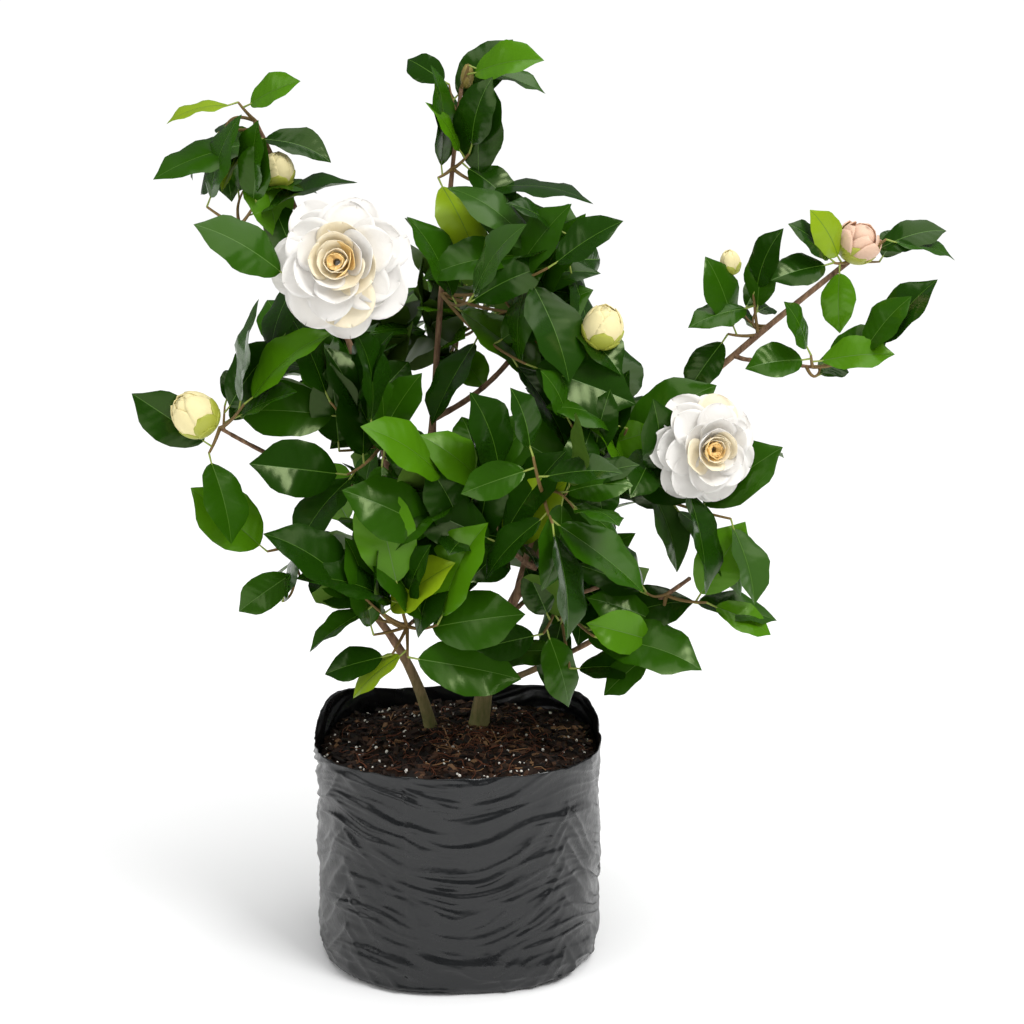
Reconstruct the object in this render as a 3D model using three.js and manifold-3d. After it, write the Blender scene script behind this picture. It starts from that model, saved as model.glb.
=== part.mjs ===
import * as THREE from 'three';
import { mergeVertices } from 'three/addons/utils/BufferGeometryUtils.js';
import Module from 'manifold-3d';

// A young camellia shrub standing in a plastic-film grow bag.
// Millimetres, Z up, front toward -Y, origin in the middle of the bag's flat underside.

// Grow bag: a soft tube of black film, squarish where it was folded flat, open at the top.
const BAG_WIDTH = 218;
const BAG_RIM = 167;
const BAG_SQUARENESS = 2.3;
const BAG_CORNER = 8;
const BAG_TAPER = 3;
const FILM = 1.5;

// The torn rim stands higher at two places: how far round, how high and how wide in degrees.
const RIM_LIFTS = [[152, 13, 22], [38, 8, 26]];
const BAG_SIDES = 36;

// Potting mix: fills the bag, a low mound about the stems.
const SOIL_EDGE = 154.5;
const SOIL_MOUND = 7.5;
const SOIL_UNEVEN = 0.8;
const SOIL_SEAT = 160;
const SEAT_RADIUS = 11.5;
const SEAT_DEPTH = 30;

// Clearance between pieces that touch, and the finest step kept on a cut skin.
const GAP = 0.3;
const SLIVER = 0.12;

// Stems and boughs.
const LIMB_SIDES = 6;
const FLARE = 3.6;
const FLARE_HEIGHT = 9;

// Each limb: where it springs from (a point, or a parent limb and how far along it),
// its tip, how much its middle is bowed off the straight line, and the radii at both ends.
const LIMBS = [
  { name: 'trunk', from: [15, 26, SOIL_SEAT + GAP], to: [28, 25, 232], bow: [-2, 0, 0], radii: [6.2, 5.0], steps: 6 },
  { name: 'stem_low_left', from: [-22, 20, SOIL_SEAT + GAP], to: [-128, -40, 324], bow: [17, 2, 12], radii: [3.8, 1.5], into: 'foliage_low_left', steps: 7 },
  { name: 'leader_right', from: ['trunk', 1], to: [108, 2, 366], bow: [-5, 2, 3], radii: [4.6, 3.3], steps: 5 },
  { name: 'arm_right', from: ['leader_right', 1], to: [283, 0, 520], bow: [0, -3, 4], radii: [3.3, 1.8], into: 'foliage_arm_tip', steps: 4 },
  { name: 'leader_parallel', from: ['leader_right', 0.22], to: [98, 42, 396], bow: [-6, 6, 0], radii: [2.6, 1.7], into: 'foliage_back_right', steps: 4 },
  { name: 'leader_centre', from: ['trunk', 0.6], to: [-20, 40, 385], bow: [-12, 2, -4], radii: [3.8, 2.9], steps: 5 },
  { name: 'leader_top', from: ['leader_centre', 1], to: [3, 42, 640], bow: [-2, 0, 0], radii: [2.9, 1.5], into: 'foliage_crown_top', steps: 3 },
  { name: 'leader_left', from: ['trunk', 0.84], to: [-54, 0, 385], bow: [-13, 2, -4], radii: [3.8, 2.8], steps: 5 },
  { name: 'leader_top_left', from: ['leader_left', 1], to: [-146, 20, 622], bow: [6, -5, 0], radii: [2.8, 1.5], into: 'foliage_top_left', steps: 5 },
  { name: 'bough_far_left', from: ['leader_top_left', 0.6], to: [-182, 2, 582], bow: [-4, -2, -9], radii: [1.8, 1.3], into: 'foliage_far_left', steps: 4 },
  { name: 'bough_mid_left', from: ['leader_left', 0.76], to: [-168, -58, 410], bow: [0, -8, -5], radii: [2.3, 1.4], into: 'foliage_mid_left', steps: 4 },
  { name: 'bough_low_right', from: ['trunk', 0.42], to: [168, -52, 298], bow: [2, -8, -4], radii: [2.8, 1.5], into: 'foliage_low_right', steps: 6 },
  { name: 'bough_inner_right', from: ['leader_right', 0.24], to: [112, -22, 288], bow: [0, -3, -6], radii: [2.0, 1.4], into: 'foliage_low_right', steps: 4 },
  { name: 'bough_upper_right', from: ['leader_top', 0.05], to: [72, 0, 526], bow: [13, 2, -16], radii: [2.4, 1.3], into: 'foliage_upper_right', steps: 6 },
  { name: 'bough_arm_mid', from: ['arm_right', 0.52], to: [262, -18, 458], bow: [0, -4, -7], radii: [1.7, 1.3], into: 'foliage_arm_mid', steps: 4 },
  { name: 'bough_front', from: ['leader_left', 0.3], to: [-42, -66, 282], bow: [0, -6, -8], radii: [2.3, 1.5], into: 'foliage_lower_left', steps: 4 },
  { name: 'bough_core', from: ['leader_right', 0.4], to: [20, -34, 346], bow: [0, -6, -6], radii: [2.1, 1.5], into: 'foliage_core', steps: 4 },
  { name: 'bough_front_centre', from: ['leader_right', 0.62], to: [60, -92, 372], bow: [0, -8, -6], radii: [2.1, 1.5], into: 'foliage_front_centre', steps: 4 },
  { name: 'bough_back_left', from: ['leader_centre', 0.72], to: [-84, 104, 428], bow: [0, 8, -10], radii: [2.4, 1.5], into: 'foliage_back_left', steps: 4 },
  { name: 'bough_back_low_left', from: ['leader_centre', 0.3], to: [-60, 96, 304], bow: [0, 5, -8], radii: [2.3, 1.5], into: 'foliage_back_low_left', steps: 4 },
  { name: 'bough_back_low_right', from: ['leader_right', 0.1], to: [76, 98, 282], bow: [0, 5, -8], radii: [2.3, 1.5], into: 'foliage_back_low_right', steps: 4 },
  { name: 'bough_back', from: ['leader_top', 0.1], to: [2, 130, 488], bow: [0, 8, -10], radii: [2.3, 1.4], into: 'foliage_back_centre', steps: 4 },
];

// Each mass of foliage: its centre, the half sizes of its body, and the sprays that stand
// out of it as [turn, lean, reach]. Turn is seen from the front (0 right, 90 up, 180 left),
// lean is degrees toward the front, and reach is from the centre to the tip of the spray.
const MASSES = [
  { name: 'foliage_crown_top', at: [-1, 42, 642], half: [21, 24, 21], fine: 2,
    sprays: [[22, 0, 73], [110, 0, 39], [180, 15, 38], [225, -30, 32]] },
  { name: 'foliage_crown_upper', at: [-2, 42, 585], half: [23, 27, 21], fine: 2,
    sprays: [[147, 0, 44], [47, 0, 36], [12, 20, 53], [305, 0, 42], [200, -50, 44]] },
  { name: 'foliage_top_left', at: [-139, 20, 624], half: [23, 22, 20], fine: 2,
    sprays: [[157, 0, 72], [72, 0, 46], [181, 10, 51], [322, 20, 46], [284, 0, 56], [60, -50, 38]] },
  { name: 'foliage_far_left', at: [-166, 2, 569], half: [24, 21, 18], fine: 2,
    sprays: [[148, 0, 67], [308, 10, 47], [322, -10, 66], [200, 40, 34]] },
  { name: 'foliage_bloom_left', at: [-83, -34, 522], half: [50, 46, 48], fine: 3,
    sprays: [[176, 10, 65], [203, 0, 70], [80, 0, 72], [37, 0, 64], [266, 10, 75], [227, 10, 86],
      [340, 0, 78], [90, 60, 78], [180, 60, 76], [0, 60, 74], [270, 60, 80], [0, 90, 84]] },
  { name: 'foliage_upper_right', at: [74, 2, 537], half: [28, 25, 20], fine: 2,
    sprays: [[22, 0, 54], [350, 15, 47], [326, 0, 50], [111, 0, 30], [190, 0, 41], [253, 0, 48], [60, -60, 42]] },
  { name: 'foliage_centre_high', at: [35, -10, 476], half: [46, 46, 42], fine: 3,
    sprays: [[118, 0, 84], [352, 20, 58], [2, 0, 72], [339, 0, 122], [170, 0, 76], [253, 15, 61], [120, 60, 60]] },
  { name: 'foliage_left_centre', at: [-77, -16, 392], half: [50, 50, 47], fine: 3,
    sprays: [[143, 0, 76], [160, 15, 58], [251, 10, 62], [35, 0, 52], [95, 0, 70], [200, 60, 66]] },
  { name: 'foliage_mid_left', at: [-157, -60, 414], half: [29, 22, 27], fine: 2,
    sprays: [[173, 0, 70], [75, 0, 64], [240, 10, 70], [325, 0, 74], [270, 60, 36]] },
  { name: 'foliage_low_left', at: [-130, -40, 308], half: [26, 21, 22], fine: 2,
    sprays: [[173, 0, 52], [228, 10, 60], [65, 0, 36], [348, 0, 50], [270, 60, 34]] },
  { name: 'foliage_lower_left', at: [-48, -56, 264], half: [50, 46, 45], fine: 3,
    sprays: [[188, 0, 60], [276, 10, 62], [326, 0, 80], [100, 0, 72], [11, 0, 54], [240, 60, 62], [330, 60, 58]] },
  { name: 'foliage_core', at: [14, -32, 352], half: [58, 56, 58], fine: 3,
    sprays: [[90, 0, 66], [145, 0, 65], [14, 0, 62], [294, 10, 50], [80, 60, 74], [250, 65, 72]] },
  { name: 'foliage_right_centre', at: [104, -18, 397], half: [49, 46, 48], fine: 3,
    sprays: [[86, 0, 66], [139, 0, 67], [19, 10, 69], [247, 0, 72], [110, 60, 62], [250, 60, 62]] },
  { name: 'foliage_front_centre', at: [58, -92, 372], half: [42, 34, 42], fine: 2,
    sprays: [[80, 20, 62], [20, 20, 58], [160, 30, 56], [280, 20, 60], [330, 60, 54]] },
  { name: 'foliage_arm_tip', at: [266, 0, 516], half: [33, 19, 24], fine: 2,
    sprays: [[113, 0, 51], [354, 0, 90], [143, 0, 46], [35, 0, 40], [235, 0, 32], [60, -60, 32]] },
  { name: 'foliage_arm_inner', at: [200, 8, 490], half: [27, 19, 27], fine: 2,
    sprays: [[136, 0, 43], [94, 0, 39], [46, 0, 50], [257, 0, 54], [222, 10, 49]] },
  { name: 'foliage_arm_mid', at: [267, -20, 457], half: [33, 17, 15], fine: 2,
    sprays: [[2, 0, 55], [337, 15, 50], [193, 0, 42], [56, 0, 24], [280, 30, 24]] },
  { name: 'foliage_bloom_right', at: [183, -34, 387], half: [46, 36, 42], fine: 2,
    sprays: [[2, 0, 74], [40, 0, 76], [169, 0, 59], [258, 0, 78], [326, 10, 96], [129, 0, 62],
      [160, 60, 60], [270, 60, 58], [50, 60, 54], [180, 88, 56]] },
  { name: 'foliage_low_right', at: [150, -50, 281], half: [36, 24, 24], fine: 2,
    sprays: [[356, 0, 79], [324, 0, 48], [283, 10, 62], [151, 0, 58], [51, 0, 38], [250, 60, 34]] },
  { name: 'foliage_lower_right', at: [78, -40, 248], half: [34, 31, 28], fine: 2,
    sprays: [[290, 10, 54], [343, 0, 50], [157, 0, 39], [94, 0, 45], [249, 30, 40]] },
  { name: 'foliage_back_left', at: [-84, 90, 426], half: [54, 58, 54], fine: 2,
    sprays: [[150, -20, 78], [100, -30, 76], [200, 10, 66], [60, -60, 78], [220, -40, 70], [20, -60, 74]] },
  { name: 'foliage_back_low_left', at: [-60, 84, 304], half: [50, 54, 47], fine: 2,
    sprays: [[170, -20, 72], [200, -60, 74], [80, -50, 66], [250, -20, 62], [300, -60, 64]] },
  { name: 'foliage_back_right', at: [104, 88, 392], half: [52, 56, 51], fine: 2,
    sprays: [[20, -20, 76], [70, -40, 72], [340, -50, 76], [120, -60, 68], [270, -40, 60], [45, 10, 62]] },
  { name: 'foliage_back_low_right', at: [76, 86, 278], half: [50, 52, 45], fine: 2,
    sprays: [[0, -20, 70], [330, -60, 70], [60, -50, 62], [250, -50, 58], [300, -10, 58]] },
  { name: 'foliage_back_centre', at: [4, 108, 472], half: [52, 58, 50], fine: 2,
    sprays: [[90, -40, 64], [160, -30, 70], [20, -40, 70], [250, -60, 74], [310, -30, 64]] },
];

// How wide a spray is at its foot, in radians about the centre of its mass.
const SPRAY_WIDTH = 0.42;
const MASS_UNEVEN = 0.06;

const FILM_BLACK = '#2c2f31';
const SOIL_BROWN = '#3a2416';
const BARK_BROWN = '#6f4a33';
const LEAF_GREENS = ['#1d5a16', '#2a6b1e', '#17490f', '#357a24'];

const wasm = await Module();
wasm.setup();
const { Manifold, Mesh } = wasm;

const vector = (list) => new THREE.Vector3(...list);

// A closed solid from points and triangles.
function solid(points, triangles) {
  const mesh = new Mesh({
    numProp: 3,
    vertProperties: new Float32Array(points),
    triVerts: new Uint32Array(triangles),
  });
  return new Manifold(mesh);
}

// A three.js geometry with its shared vertices merged.
function merged(geometry) {
  geometry.deleteAttribute('normal');
  geometry.deleteAttribute('uv');
  return mergeVertices(geometry, 1e-4);
}

function fromGeometry(geometry) {
  const skin = merged(geometry);
  return solid(skin.getAttribute('position').array, skin.getIndex().array);
}

// A stack of closed rings with the same number of points, capped by a point at each end.
function stack(first, rings, last) {
  const count = rings[0].length;
  const points = [...first];
  const triangles = [];
  rings.forEach((ring) => ring.forEach((p) => points.push(...p)));
  points.push(...last);
  const at = (row, k) => 1 + row * count + (k % count);
  const end = 1 + rings.length * count;
  for (let k = 0; k < count; k += 1) {
    triangles.push(0, at(0, k + 1), at(0, k));
    for (let row = 0; row + 1 < rings.length; row += 1) {
      triangles.push(at(row, k), at(row, k + 1), at(row + 1, k + 1));
      triangles.push(at(row, k), at(row + 1, k + 1), at(row + 1, k));
    }
    triangles.push(at(rings.length - 1, k), at(rings.length - 1, k + 1), end);
  }
  return solid(points, triangles);
}

// The bag is a rounded square in plan: a superellipse of half width `half`.
function bagOutline(half, height) {
  const ring = [];
  for (let k = 0; k < BAG_SIDES; k += 1) {
    const angle = (2 * Math.PI * k) / BAG_SIDES;
    const c = Math.cos(angle);
    const s = Math.sin(angle);
    const radius = half / (Math.abs(c) ** BAG_SQUARENESS + Math.abs(s) ** BAG_SQUARENESS) ** (1 / BAG_SQUARENESS);
    ring.push([radius * c, radius * s, height(angle, radius * c, radius * s)]);
  }
  return ring;
}

function rimHeight(angle) {
  let height = BAG_RIM;
  RIM_LIFTS.forEach(([at, lift, width]) => {
    const off = (THREE.MathUtils.euclideanModulo(THREE.MathUtils.radToDeg(angle) - at + 180, 360) - 180) / width;
    height += lift * Math.exp(-(off ** 2));
  });
  return height;
}

// Half width of the outside of the bag at a height above the rounded bottom corner.
function bagHalf(height) {
  return BAG_WIDTH / 2 - BAG_TAPER * (1 - height / BAG_RIM);
}

// The rounded lower corner and the side up to `top`, set in from the film by `inset`.
function bagSide(inset, top, rows) {
  const rings = [];
  for (let k = 0; k < 4; k += 1) {
    const turn = (Math.PI / 2) * (k / 3);
    const round = BAG_CORNER - inset;
    const height = BAG_CORNER - round * Math.cos(turn);
    const half = bagHalf(BAG_CORNER) - BAG_CORNER + round * Math.sin(turn);
    rings.push(bagOutline(half, () => height));
  }
  for (let k = 1; k <= rows; k += 1) {
    const part = k / rows;
    const height = (angle) => BAG_CORNER + part * (top(angle) - BAG_CORNER);
    rings.push(bagOutline(bagHalf(BAG_CORNER + part * (BAG_RIM - BAG_CORNER)) - inset, height));
  }
  return rings;
}

function growBag() {
  const outside = bagSide(0, rimHeight, 2);
  const inside = bagSide(FILM, rimHeight, 1).reverse();
  return stack([0, 0, 0], [...outside, ...inside], [0, 0, FILM]);
}

// Height of the soil: highest about the stems, with small lumps.
function soilHeight(x, y) {
  const out = Math.hypot(x, y) / (BAG_WIDTH / 2);
  const lumps = Math.sin(x * 0.09 + 1.3) * Math.cos(y * 0.11) + Math.sin((x - y) * 0.05);
  return SOIL_EDGE + SOIL_MOUND * (1 - out ** 2.6) + SOIL_UNEVEN * lumps * (1 - out ** 6);
}

function pottingMix() {
  const inset = FILM + GAP;
  const edge = bagHalf(SOIL_EDGE) - inset;
  const rings = bagSide(inset, () => SOIL_EDGE, 1);
  rings[rings.length - 1] = bagOutline(edge, () => SOIL_EDGE);
  for (const part of [0.94, 0.76, 0.55, 0.3]) {
    rings.push(bagOutline(edge * part, (angle, x, y) => soilHeight(x, y)));
  }
  let mix = stack([0, 0, inset], rings, [0, 0, soilHeight(0, 0)]);
  LIMBS.filter(({ from }) => from.length === 3).forEach(({ from }) => {
    const seat = new THREE.CylinderGeometry(SEAT_RADIUS, SEAT_RADIUS, SEAT_DEPTH, 14);
    seat.rotateX(Math.PI / 2);
    seat.translate(from[0], from[1], SOIL_SEAT + SEAT_DEPTH / 2);
    mix = mix.subtract(fromGeometry(seat));
  });
  return mix;
}

// Centre line of a limb: a straight run with its middle bowed aside.
const lines = {};
function limbLine(limb) {
  const start = limb.from.length === 3 ? vector(limb.from) : lines[limb.from[0]].getPoint(limb.from[1]);
  const tip = vector(limb.to);
  const middle = start.clone().add(tip).multiplyScalar(0.5).add(vector(limb.bow).multiplyScalar(2));
  return new THREE.QuadraticBezierCurve3(start, middle, tip);
}

// A tapering limb swept along its centre line, widened at the foot where it meets the soil.
function limbSolid(limb, grow) {
  const line = lines[limb.name];
  const grounded = limb.from.length === 3;
  const rings = [];
  let side = new THREE.Vector3(1, 0, 0);
  for (let step = 0; step <= limb.steps; step += 1) {
    const part = step / limb.steps;
    const centre = line.getPoint(part);
    const along = grounded && step === 0 ? new THREE.Vector3(0, 0, 1) : line.getTangent(part);
    side = side.sub(along.clone().multiplyScalar(side.dot(along))).normalize();
    const across = along.clone().cross(side);
    let radius = THREE.MathUtils.lerp(limb.radii[0], limb.radii[1], part) + grow;
    if (grounded) {
      radius += FLARE * Math.exp(-(centre.z - SOIL_SEAT) / FLARE_HEIGHT) * (limb.radii[0] / 6.2);
    }
    const ring = [];
    for (let k = 0; k < LIMB_SIDES; k += 1) {
      const angle = (2 * Math.PI * k) / LIMB_SIDES;
      const point = centre.clone();
      point.addScaledVector(side, radius * Math.cos(angle));
      point.addScaledVector(across, radius * Math.sin(angle));
      ring.push(point.toArray());
    }
    rings.push(ring);
  }
  const tip = line.getPoint(1).addScaledVector(line.getTangent(1), grow + limb.radii[1] * 0.4);
  return stack(limbFoot(line, grounded, grow), rings, tip.toArray());
}

function limbFoot(line, grounded, grow) {
  const foot = line.getPoint(0);
  return grounded ? foot.toArray() : foot.addScaledVector(line.getTangent(0), -grow).toArray();
}

function heading(turn, lean) {
  const t = THREE.MathUtils.degToRad(turn);
  const l = THREE.MathUtils.degToRad(lean);
  return new THREE.Vector3(Math.cos(l) * Math.cos(t), -Math.sin(l), Math.cos(l) * Math.sin(t));
}

// Distance from the centre of a mass to the skin of its plain body.
function bodyReach(mass, way) {
  return 1 / Math.hypot(way.x / mass.half[0], way.y / mass.half[1], way.z / mass.half[2]);
}

// A mass of foliage: a lumpy egg with each of its sprays standing out to full reach.
function massSolid(mass, grow) {
  const skin = merged(new THREE.IcosahedronGeometry(1, mass.fine));
  const ways = [];
  const place = skin.getAttribute('position');
  for (let k = 0; k < place.count; k += 1) {
    ways.push(new THREE.Vector3().fromBufferAttribute(place, k));
  }
  const sprays = mass.sprays.map(([turn, lean, reach]) => ({ way: heading(turn, lean), reach }));
  const taken = new Set();
  sprays.forEach(({ way }) => {
    const free = ways.map((other, k) => (taken.has(k) ? -1 : other.dot(way)));
    const nearest = free.indexOf(Math.max(...free));
    taken.add(nearest);
    ways[nearest].copy(way);
  });
  const points = [];
  ways.forEach((way) => {
    let reach = bodyReach(mass, way);
    const wave = Math.sin(4.1 * way.x + mass.at[0]) * Math.sin(3.7 * way.z + mass.at[2]) + Math.sin(5 * way.y);
    reach *= 1 + MASS_UNEVEN * wave;
    let stretch = 0;
    sprays.forEach((spray) => {
      const angle = Math.acos(THREE.MathUtils.clamp(way.dot(spray.way), -1, 1));
      const extra = (spray.reach - bodyReach(mass, spray.way)) * Math.exp(-((angle / SPRAY_WIDTH) ** 2));
      stretch = Math.max(stretch, extra);
    });
    const point = way.clone().multiplyScalar(reach + stretch + grow);
    points.push(...point.add(vector(mass.at)).toArray());
  });
  return solid(points, skin.getIndex().array);
}

// The main body left after a cut, without the slivers the cut leaves on its skin.
function largest(shape) {
  const bodies = shape.decompose();
  const main = bodies.reduce((best, body) => (body.volume() > best.volume() ? body : best));
  return main.simplify(SLIVER);
}

// Takes a shape away together with a clearance all round it.
function clearOf(shape, other) {
  let left = shape;
  for (const axis of [0, 1, 2]) {
    for (const way of [-GAP, GAP]) {
      const shift = [0, 0, 0];
      shift[axis] = way;
      left = left.subtract(other.translate(shift));
    }
  }
  return left;
}

// Stems first: each bough starts on the skin of the limb it springs from.
LIMBS.forEach((limb) => {
  lines[limb.name] = limbLine(limb);
});
const limbs = {};
LIMBS.forEach((limb, order) => {
  let wood = limbSolid(limb, 0);
  LIMBS.slice(0, order).forEach((earlier) => {
    wood = wood.subtract(limbSolid(earlier, GAP));
  });
  limbs[limb.name] = largest(wood);
});

// Masses next: each is cut away from the ones before it and round every limb that goes through.
const masses = {};
MASSES.forEach((mass, order) => {
  let leaves = massSolid(mass, 0);
  MASSES.slice(0, order).forEach((earlier) => {
    leaves = leaves.subtract(massSolid(earlier, GAP));
  });
  LIMBS.filter((limb) => limb.into !== mass.name).forEach((limb) => {
    leaves = leaves.subtract(limbSolid(limb, GAP));
  });
  masses[mass.name] = largest(leaves);
});

// A bough that ends in a mass stops where it enters it.
LIMBS.filter((limb) => limb.into).forEach((limb) => {
  limbs[limb.name] = largest(clearOf(limbs[limb.name], masses[limb.into]));
});

function piece(name, shape, colour, roughness) {
  const { vertProperties, triVerts, numProp } = shape.getMesh();
  const geometry = new THREE.BufferGeometry();
  const points = new Float32Array((vertProperties.length / numProp) * 3);
  for (let k = 0; k < points.length; k += 1) {
    points[k] = vertProperties[Math.floor(k / 3) * numProp + (k % 3)];
  }
  geometry.setAttribute('position', new THREE.BufferAttribute(points, 3));
  geometry.setIndex(new THREE.BufferAttribute(new Uint32Array(triVerts), 1));
  geometry.computeVertexNormals();
  const part = new THREE.Mesh(geometry, new THREE.MeshStandardMaterial({ color: colour, roughness }));
  part.name = name;
  return part;
}

const plant = new THREE.Group();
plant.name = 'camellia_shrub';
plant.add(piece('grow_bag', growBag(), FILM_BLACK, 0.4));
plant.add(piece('potting_mix', pottingMix(), SOIL_BROWN, 0.95));
Object.entries(limbs).forEach(([name, shape]) => plant.add(piece(name, shape, BARK_BROWN, 0.8)));
Object.entries(masses).forEach(([name, shape], k) => {
  plant.add(piece(name, shape, LEAF_GREENS[k % LEAF_GREENS.length], 0.5));
});

export default plant;
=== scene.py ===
"""A young camellia shrub, budding and in bloom, standing in a black film grow bag.

Metres, Z up, front toward -Y, the bag's flat underside on the floor at the origin.
"""

import math

import bpy
import numpy as np
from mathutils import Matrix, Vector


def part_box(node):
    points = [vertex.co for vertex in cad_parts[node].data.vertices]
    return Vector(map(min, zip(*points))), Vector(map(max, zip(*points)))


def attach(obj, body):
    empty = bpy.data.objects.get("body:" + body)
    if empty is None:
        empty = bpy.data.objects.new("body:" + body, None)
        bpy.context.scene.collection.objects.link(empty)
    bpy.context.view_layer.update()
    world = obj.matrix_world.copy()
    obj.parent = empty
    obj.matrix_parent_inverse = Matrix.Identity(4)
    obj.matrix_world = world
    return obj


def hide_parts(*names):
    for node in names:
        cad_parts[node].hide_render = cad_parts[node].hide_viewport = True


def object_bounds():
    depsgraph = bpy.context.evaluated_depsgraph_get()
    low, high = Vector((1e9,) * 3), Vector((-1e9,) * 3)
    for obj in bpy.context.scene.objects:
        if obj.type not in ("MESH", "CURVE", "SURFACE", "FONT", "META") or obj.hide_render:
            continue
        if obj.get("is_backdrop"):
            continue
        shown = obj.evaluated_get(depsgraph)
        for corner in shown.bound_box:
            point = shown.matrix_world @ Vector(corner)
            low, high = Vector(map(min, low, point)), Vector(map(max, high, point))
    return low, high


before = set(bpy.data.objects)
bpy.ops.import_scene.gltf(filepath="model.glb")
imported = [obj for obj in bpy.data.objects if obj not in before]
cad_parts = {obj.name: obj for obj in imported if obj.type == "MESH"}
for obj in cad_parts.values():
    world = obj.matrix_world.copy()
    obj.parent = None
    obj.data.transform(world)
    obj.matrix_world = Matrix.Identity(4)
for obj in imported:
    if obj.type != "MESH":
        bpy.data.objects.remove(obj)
cad_low, cad_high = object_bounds()

# ---------------------------------------------------------------- Grow bag
# A soft tube of black polythene film, folded flat in store, so it stands squarish and
# keeps its long wrinkles. Blown film, heat sealed below; the torn rim waves a little.
# Modelled as one closed skin: underside, wrinkled wall, rim and the inside above the mix.

MM = 0.001


def linear(code):
    """The linear colour of an sRGB code such as '#2b2e30': each channel through the sRGB curve."""
    parts = [int(code[i:i + 2], 16) / 255 for i in (1, 3, 5)]
    curve = [c / 12.92 if c <= 0.04045 else ((c + 0.055) / 1.055) ** 2.4 for c in parts]
    return (*curve, 1.0)


def finish(name, colour, roughness, **settings):
    """A new material: its tree and shader, with a plain base colour and constant settings."""
    made = bpy.data.materials.new(name)
    made.use_nodes = True
    shader = made.node_tree.nodes["Principled BSDF"]
    shader.inputs["Base Color"].default_value = linear(colour)
    shader.inputs["Roughness"].default_value = roughness
    for socket, value in settings.items():
        shader.inputs[socket.replace("_", " ")].default_value = value
    return made, made.node_tree, shader


def node(tree, kind, inputs=None, **properties):
    """Adds one shader node; each input is set, or linked where it is given a socket."""
    made = tree.nodes.new("ShaderNode" + kind)
    for name, value in properties.items():
        setattr(made, name, value)
    for name, value in (inputs or {}).items():
        if isinstance(value, bpy.types.NodeSocket):
            tree.links.new(value, made.inputs[name])
        else:
            made.inputs[name].default_value = value
    return made


def place(tree):
    """The object's own coordinates, in metres."""
    return node(tree, "TexCoord").outputs["Object"]


def speckle(tree, scale, detail, roughness=0.5, where=None):
    """Noise from 0 to 1, at so many cells a metre, on the object's own coordinates or those given."""
    inputs = {"Vector": where or place(tree), "Scale": scale, "Detail": detail, "Roughness": roughness}
    return node(tree, "TexNoise", inputs).outputs["Fac"]


def relief(tree, shader, height, strength, depth):
    """Tilts the shader's normal by a bump of this height, at this strength and depth (metres)."""
    bump = node(tree, "Bump", {"Height": height, "Strength": strength, "Distance": depth})
    tree.links.new(bump.outputs["Normal"], shader.inputs["Normal"])


def two_tone(tree, factor, *stops):
    """A colour that runs between two tones, each given as its code and the factor it stands at."""
    ramp = node(tree, "ValToRGB", {"Fac": factor})
    for stop, (code, spot) in zip(ramp.color_ramp.elements, stops):
        stop.color, stop.position = linear(code), spot
    return ramp.outputs["Color"]


def piece(name, points, polygons, finishes, which=None, flat=False, uv=None):
    """One piece of the plant from points (n, 3) and a list of index arrays, one per face size."""
    mesh = bpy.data.meshes.new(name)
    corners = np.concatenate([p.ravel() for p in polygons]).astype(np.int32)
    sizes = np.concatenate([np.full(len(p), p.shape[1]) for p in polygons])
    starts = np.concatenate([[0], np.cumsum(sizes)[:-1]]).astype(np.int32)
    mesh.vertices.add(len(points))
    mesh.vertices.foreach_set("co", np.asarray(points, np.float32).ravel())
    mesh.loops.add(len(corners))
    mesh.loops.foreach_set("vertex_index", corners)
    mesh.polygons.add(len(sizes))
    mesh.polygons.foreach_set("loop_start", starts)
    mesh.polygons.foreach_set("use_smooth", np.full(len(sizes), not flat))
    for made in finishes:
        mesh.materials.append(made)
    if which is not None:
        mesh.polygons.foreach_set("material_index", np.concatenate(which).astype(np.int32))
    if uv is not None:
        layer = mesh.uv_layers.new(name="along")
        layer.uv.foreach_set("vector", uv[corners].astype(np.float32).ravel())
    mesh.update(calc_edges=True)
    made = bpy.data.objects.new(name, mesh)
    bpy.context.scene.collection.objects.link(made)
    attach(made, "root")
    return made


def noise(x, y, seed, wrap=64):
    """Smooth random heights from -1 to 1 on a unit lattice that repeats every `wrap` cells in x."""
    table = np.random.default_rng(seed).uniform(-1, 1, (wrap, 64))
    i, j = np.floor(x).astype(int), np.floor(y).astype(int)
    u, v = x - i, y - j
    u, v = u * u * (3 - 2 * u), v * v * (3 - 2 * v)
    i0, i1, j0, j1 = i % wrap, (i + 1) % wrap, j % 64, (j + 1) % 64
    low = table[i0, j0] * (1 - u) + table[i1, j0] * u
    return low * (1 - v) + (table[i0, j1] * (1 - u) + table[i1, j1] * u) * v


def ridge(x, y, seed, wrap, sharp=2.0):
    """A crease line wherever the noise crosses zero: one minus its size, raised to a power."""
    return (1 - np.abs(noise(x, y, seed, wrap))) ** sharp


BAG_HALF, BAG_RIM, SQUARE = 109 * MM, 167 * MM, 2.3


def outline(turn, half):
    """Distance from the middle to a rounded square: |x|^n + |y|^n = half^n at this turn, where n
    is SQUARE."""
    c, s = np.abs(np.cos(turn)), np.abs(np.sin(turn))
    return half / (c ** SQUARE + s ** SQUARE) ** (1 / SQUARE)


def rim_height(turn):
    """Height of the torn rim: level, with two soft lifts at the back and small tears all round."""
    height = np.full_like(turn, BAG_RIM)
    for middle, lift, spread in ((152, 12, 22), (38, 8, 26)):
        away = (np.degrees(turn) - middle + 180) % 360 - 180
        height = height + lift * MM * np.exp(-(away / spread) ** 2)
    round_ = turn / (2 * np.pi)
    tears = 0.9 * noise(round_ * 40, 0 * turn, 3, 40) + 0.45 * noise(round_ * 130, 0 * turn, 4, 130)
    return height + tears * MM


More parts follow.
